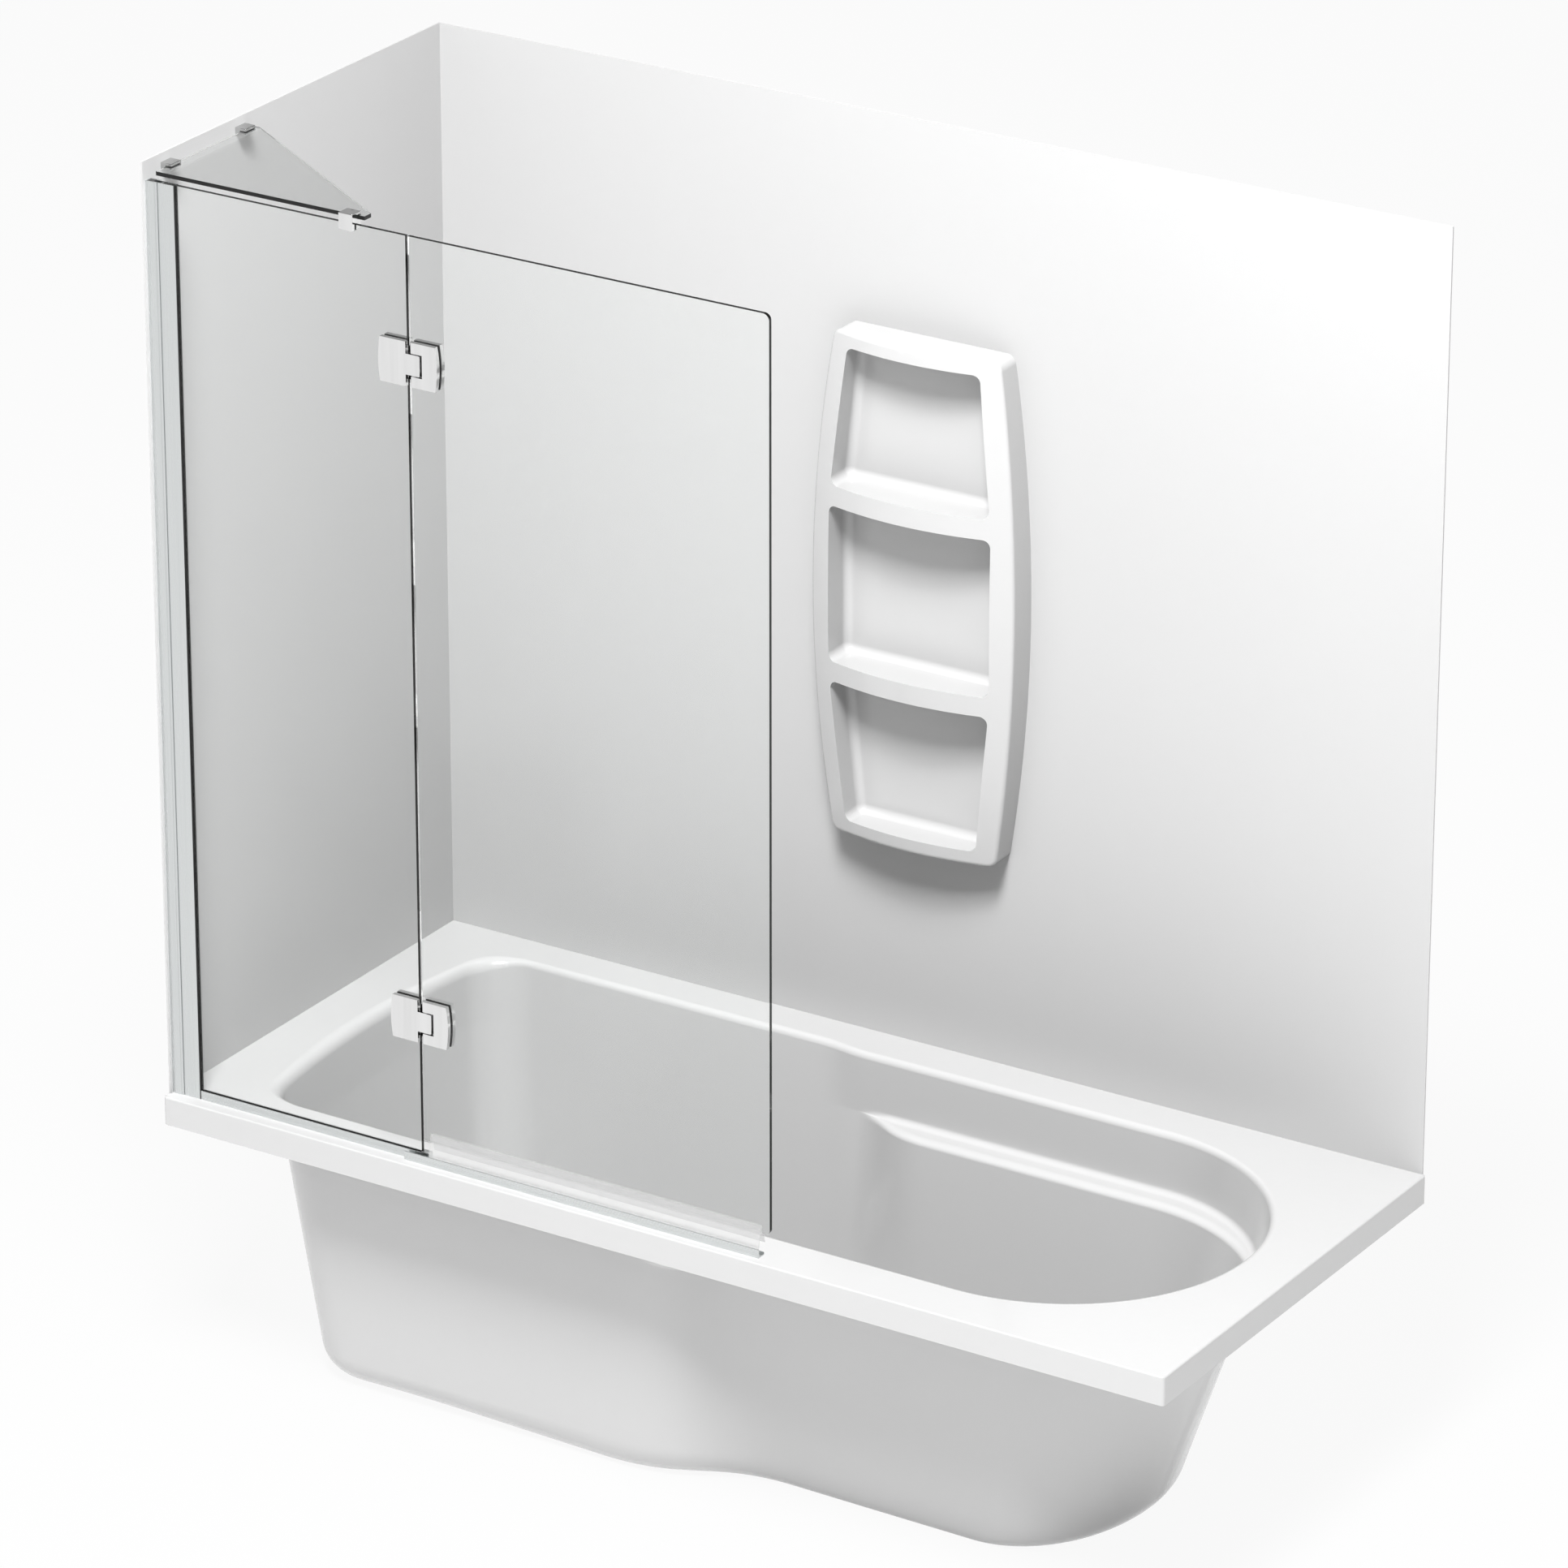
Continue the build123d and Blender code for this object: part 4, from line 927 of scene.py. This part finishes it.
def corner_stations():
    """Stations that stand nearest to the four corners, from the front left, anticlockwise."""
    side = LEAD_STATIONS + SIDE_STATIONS
    end = side + END_STATIONS
    back = end + side
    last = back + CORNER_STATIONS + BOW_STATIONS + CORNER_STATIONS // 2
    return [last, side + END_STATIONS // 4, side + END_STATIONS * 3 // 4, back + CORNER_STATIONS // 2]


def deck_outline(inset, radius, opening):
    """Stations on the rectangle, with the direction that points outwards at each."""
    count = len(opening)
    steps = np.linalg.norm(np.roll(opening, -1, 0) - opening, axis=1)
    run = np.concatenate([[0], np.cumsum(steps)])
    corners = [
        (LEFT_EDGE + inset, FRONT_EDGE + inset),
        (RIGHT_EDGE - inset, FRONT_EDGE + inset),
        (RIGHT_EDGE - inset, BACK_EDGE - inset),
        (LEFT_EDGE + inset, BACK_EDGE - inset),
    ]
    places, normals = np.zeros((count, 2)), np.zeros((count, 2))
    marks = corner_stations()
    for side in range(4):
        here, there = np.array(corners[side]), np.array(corners[(side + 1) % 4])
        way = (there - here) / np.linalg.norm(there - here)
        normal = np.array([way[1], -way[0]])
        centre = here + (way - normal) * radius
        for step in range(-CORNER_HALF, CORNER_HALF + 1):
            turn = (step + CORNER_HALF) / (2 * CORNER_HALF) * pi / 2
            direction = -way * np.cos(turn) + normal * np.sin(turn)
            station = (marks[side] + step) % count
            places[station] = centre + direction * radius
            normals[station] = direction
        first = marks[side] + CORNER_HALF
        last = marks[(side + 1) % 4] - CORNER_HALF
        last += count if last < first else 0
        span = np.arange(first + 1, last)
        distance = run[span % count] + (span // count - first // count) * run[-1]
        start, stop = run[first % count], run[last % count] + (last // count - first // count) * run[-1]
        share = (distance - start) / (stop - start)
        from_point, to_point = here + way * radius, there - way * radius
        places[span % count] = from_point + share[:, None] * (to_point - from_point)
        normals[span % count] = normal
    return places, normals


print("stations at the corners", corner_stations())

# %% [markdown]
# ### The edge of the deck
# The two sides that are seen have an edge of 2.5 mm radius, as a hot sheet gets over a mould. The two sides
# at the walls are cut, so theirs is almost sharp. The rings go over the edge, down the fascia, round its
# foot and up behind it.

# %% Rings of the deck
DECK_CORNER = 0.005
INNER_CORNER = DECK_CORNER / 4
SHOWN_EDGE, WALL_EDGE = 0.0025, 0.0004
EDGE_RINGS = 6


def deck_rings(opening):
    """Rings over the deck's edge, down the fascia, round its foot and up behind it."""
    places, normals = deck_outline(0.0, DECK_CORNER, opening)
    inner, _ = deck_outline(WALL, INNER_CORNER, opening)
    shown = np.clip(np.maximum(normals[:, 0], -normals[:, 1]), 0, 1)[:, None]
    edge = WALL_EDGE + (SHOWN_EDGE - WALL_EDGE) * shown
    rings = []
    for turn in np.linspace(0, pi / 2, EDGE_RINGS):
        flat = places - normals * edge * (1 - np.sin(turn))
        rings.append(np.column_stack([flat, DECK_Z - edge * (1 - np.cos(turn))]))
    foot = DECK_Z - FASCIA
    rings.append(at_height(places, foot + WALL_EDGE))
    rings.append(at_height(places - normals * WALL_EDGE, foot))
    rings.append(at_height(inner, foot))
    rings.append(at_height(inner, DECK_Z - WALL))
    return rings


deck = deck_rings(outline(**RIM_OUTLINE))
print("rings of the deck", len(deck))

# %% [markdown]
# ### Closing the skin
# The rings now run from the waste hole over the floor, up the basin, over the deck and back underneath to
# the waste hole. Joined in a loop they make one closed body with a real wall thickness, which is what a
# scanner would find.

# %% Helpers for the mesh
SMOOTH_BELOW = radians(32)
FLAT_WEIGHT = 80


def hole_ring(edge, z):
    """Ring of the waste hole, with each station on the line to the same station of the floor's edge."""
    way = edge[:, :2] - np.array(WASTE)
    way /= np.linalg.norm(way, axis=1, keepdims=True)
    return at_height(np.array(WASTE) + way * WASTE_HOLE, z)


def closed_mesh(name, rings):
    """Mesh of quads around and along a loop of rings."""
    count = len(rings[0])
    points = np.concatenate(rings)
    turns = len(rings)
    ring, station = np.meshgrid(np.arange(turns), np.arange(count), indexing="ij")
    next_ring, next_station = (ring + 1) % turns, (station + 1) % count
    quads = np.stack(
        [
            ring * count + station,
            ring * count + next_station,
            next_ring * count + next_station,
            next_ring * count + station,
        ],
        axis=-1,
    ).reshape(-1, 4)
    mesh = bpy.data.meshes.new(name)
    mesh.from_pydata(points.tolist(), [], quads.tolist())
    mesh.shade_smooth()
    mesh.set_sharp_from_angle(angle=SMOOTH_BELOW)
    mesh.update()
    return mesh


def even_normals(piece):
    """Lets the large flat faces decide the shading at their borders."""
    weighted = piece.modifiers.new("even_normals", "WEIGHTED_NORMAL")
    weighted.keep_sharp = True
    weighted.weight = FLAT_WEIGHT
    return piece


print("edges up to", round(SMOOTH_BELOW, 3), "radians stay smooth")

# %% Mesh of the bath
inner_hole, outer_hole = hole_ring(inside[-1], WALL), hole_ring(outside[-1], 0.0)
down = list(reversed(inside))
skin = [inner_hole] + straight(inner_hole, down[0], FLOOR_RINGS) + down
skin += deck + outside + straight(outside[-1], outer_hole, FLOOR_RINGS) + [outer_hole]
bath = bpy.data.objects.new("bath_skin", closed_mesh("bath_skin", skin))
bpy.context.scene.collection.objects.link(bath)
even_normals(bath)
bath.data.materials.append(finishes["bath_acrylic"])
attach(bath, "bath")
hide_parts("bath_shell")
print("bath skin", len(bath.data.vertices), "points,", len(bath.data.polygons), "faces")

# %% [markdown]
# ## The pieces that stay as they are
# Profiles, hinges, clamps, glass and gaskets are made by machines to exact sizes, so the CAD solids are
# right. What a CAD solid lacks is the small broken edge that every real part has, which catches a line of
# light. Three modifiers give it: Weld joins the split points, Bevel breaks the sharp edges and Weighted
# Normal keeps the flats flat. The large flat sheets of glass and lining stay without a bevel: one at a
# screw hole would draw a faint line right across the sheet. The clear seal is drawn in by a tenth of a
# millimetre, so that its lips stand just off the glass.

# %% Broken edges
SAME_POINT = 0.00001
SEAL_GAP = 0.0001
BEVEL_SEGMENTS = 2
SHARP_ABOVE = radians(40)
BROKEN_EDGES = {
    "profile_aluminium": 0.00025,
    "polished_chrome": 0.0005,
    "dark_plastic": 0.0004,
}


def join_points(piece):
    """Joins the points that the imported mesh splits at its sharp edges."""
    weld = piece.modifiers.new("joined_points", "WELD")
    weld.merge_threshold = SAME_POINT


def break_edges(piece, width):
    """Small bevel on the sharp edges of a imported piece."""
    join_points(piece)
    bevel = piece.modifiers.new("broken_edges", "BEVEL")
    bevel.width = width
    bevel.segments = BEVEL_SEGMENTS
    bevel.limit_method = "ANGLE"
    bevel.angle_limit = SHARP_ABOVE
    even_normals(piece)


def draw_in(piece, gap):
    """Moves every face of a piece inwards by a small gap."""
    join_points(piece)
    shrink = piece.modifiers.new("drawn_in", "DISPLACE")
    shrink.strength = -gap
    shrink.mid_level = 0.0


print("edges are broken by", BROKEN_EDGES, "m")

# %% [markdown]
# ### A finish for every piece
# The CAD model names a material for each piece. Each takes the finish of that name. Five pieces take a
# variant: the two upright profiles, whose drawn lines run the other way, the flat glass of the brace, and
# the two clamps on the wall.

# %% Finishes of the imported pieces
VARIANTS = {
    "wall_channel": upright_aluminium,
    "glass_channel": upright_aluminium,
    "wall_clamp_front": satin_chrome,
    "wall_clamp_rear": satin_chrome,
    "brace_glass": brace_finish,
}

for name, piece in nodes.items():
    slot = slot_of[name]
    piece.material_slots[0].material = VARIANTS.get(name, finishes[slot])
    if slot in BROKEN_EDGES:
        break_edges(piece, BROKEN_EDGES[slot])
    if slot == "clear_seal":
        draw_in(piece, SEAL_GAP)
print("finished", len(nodes), "packed pieces")
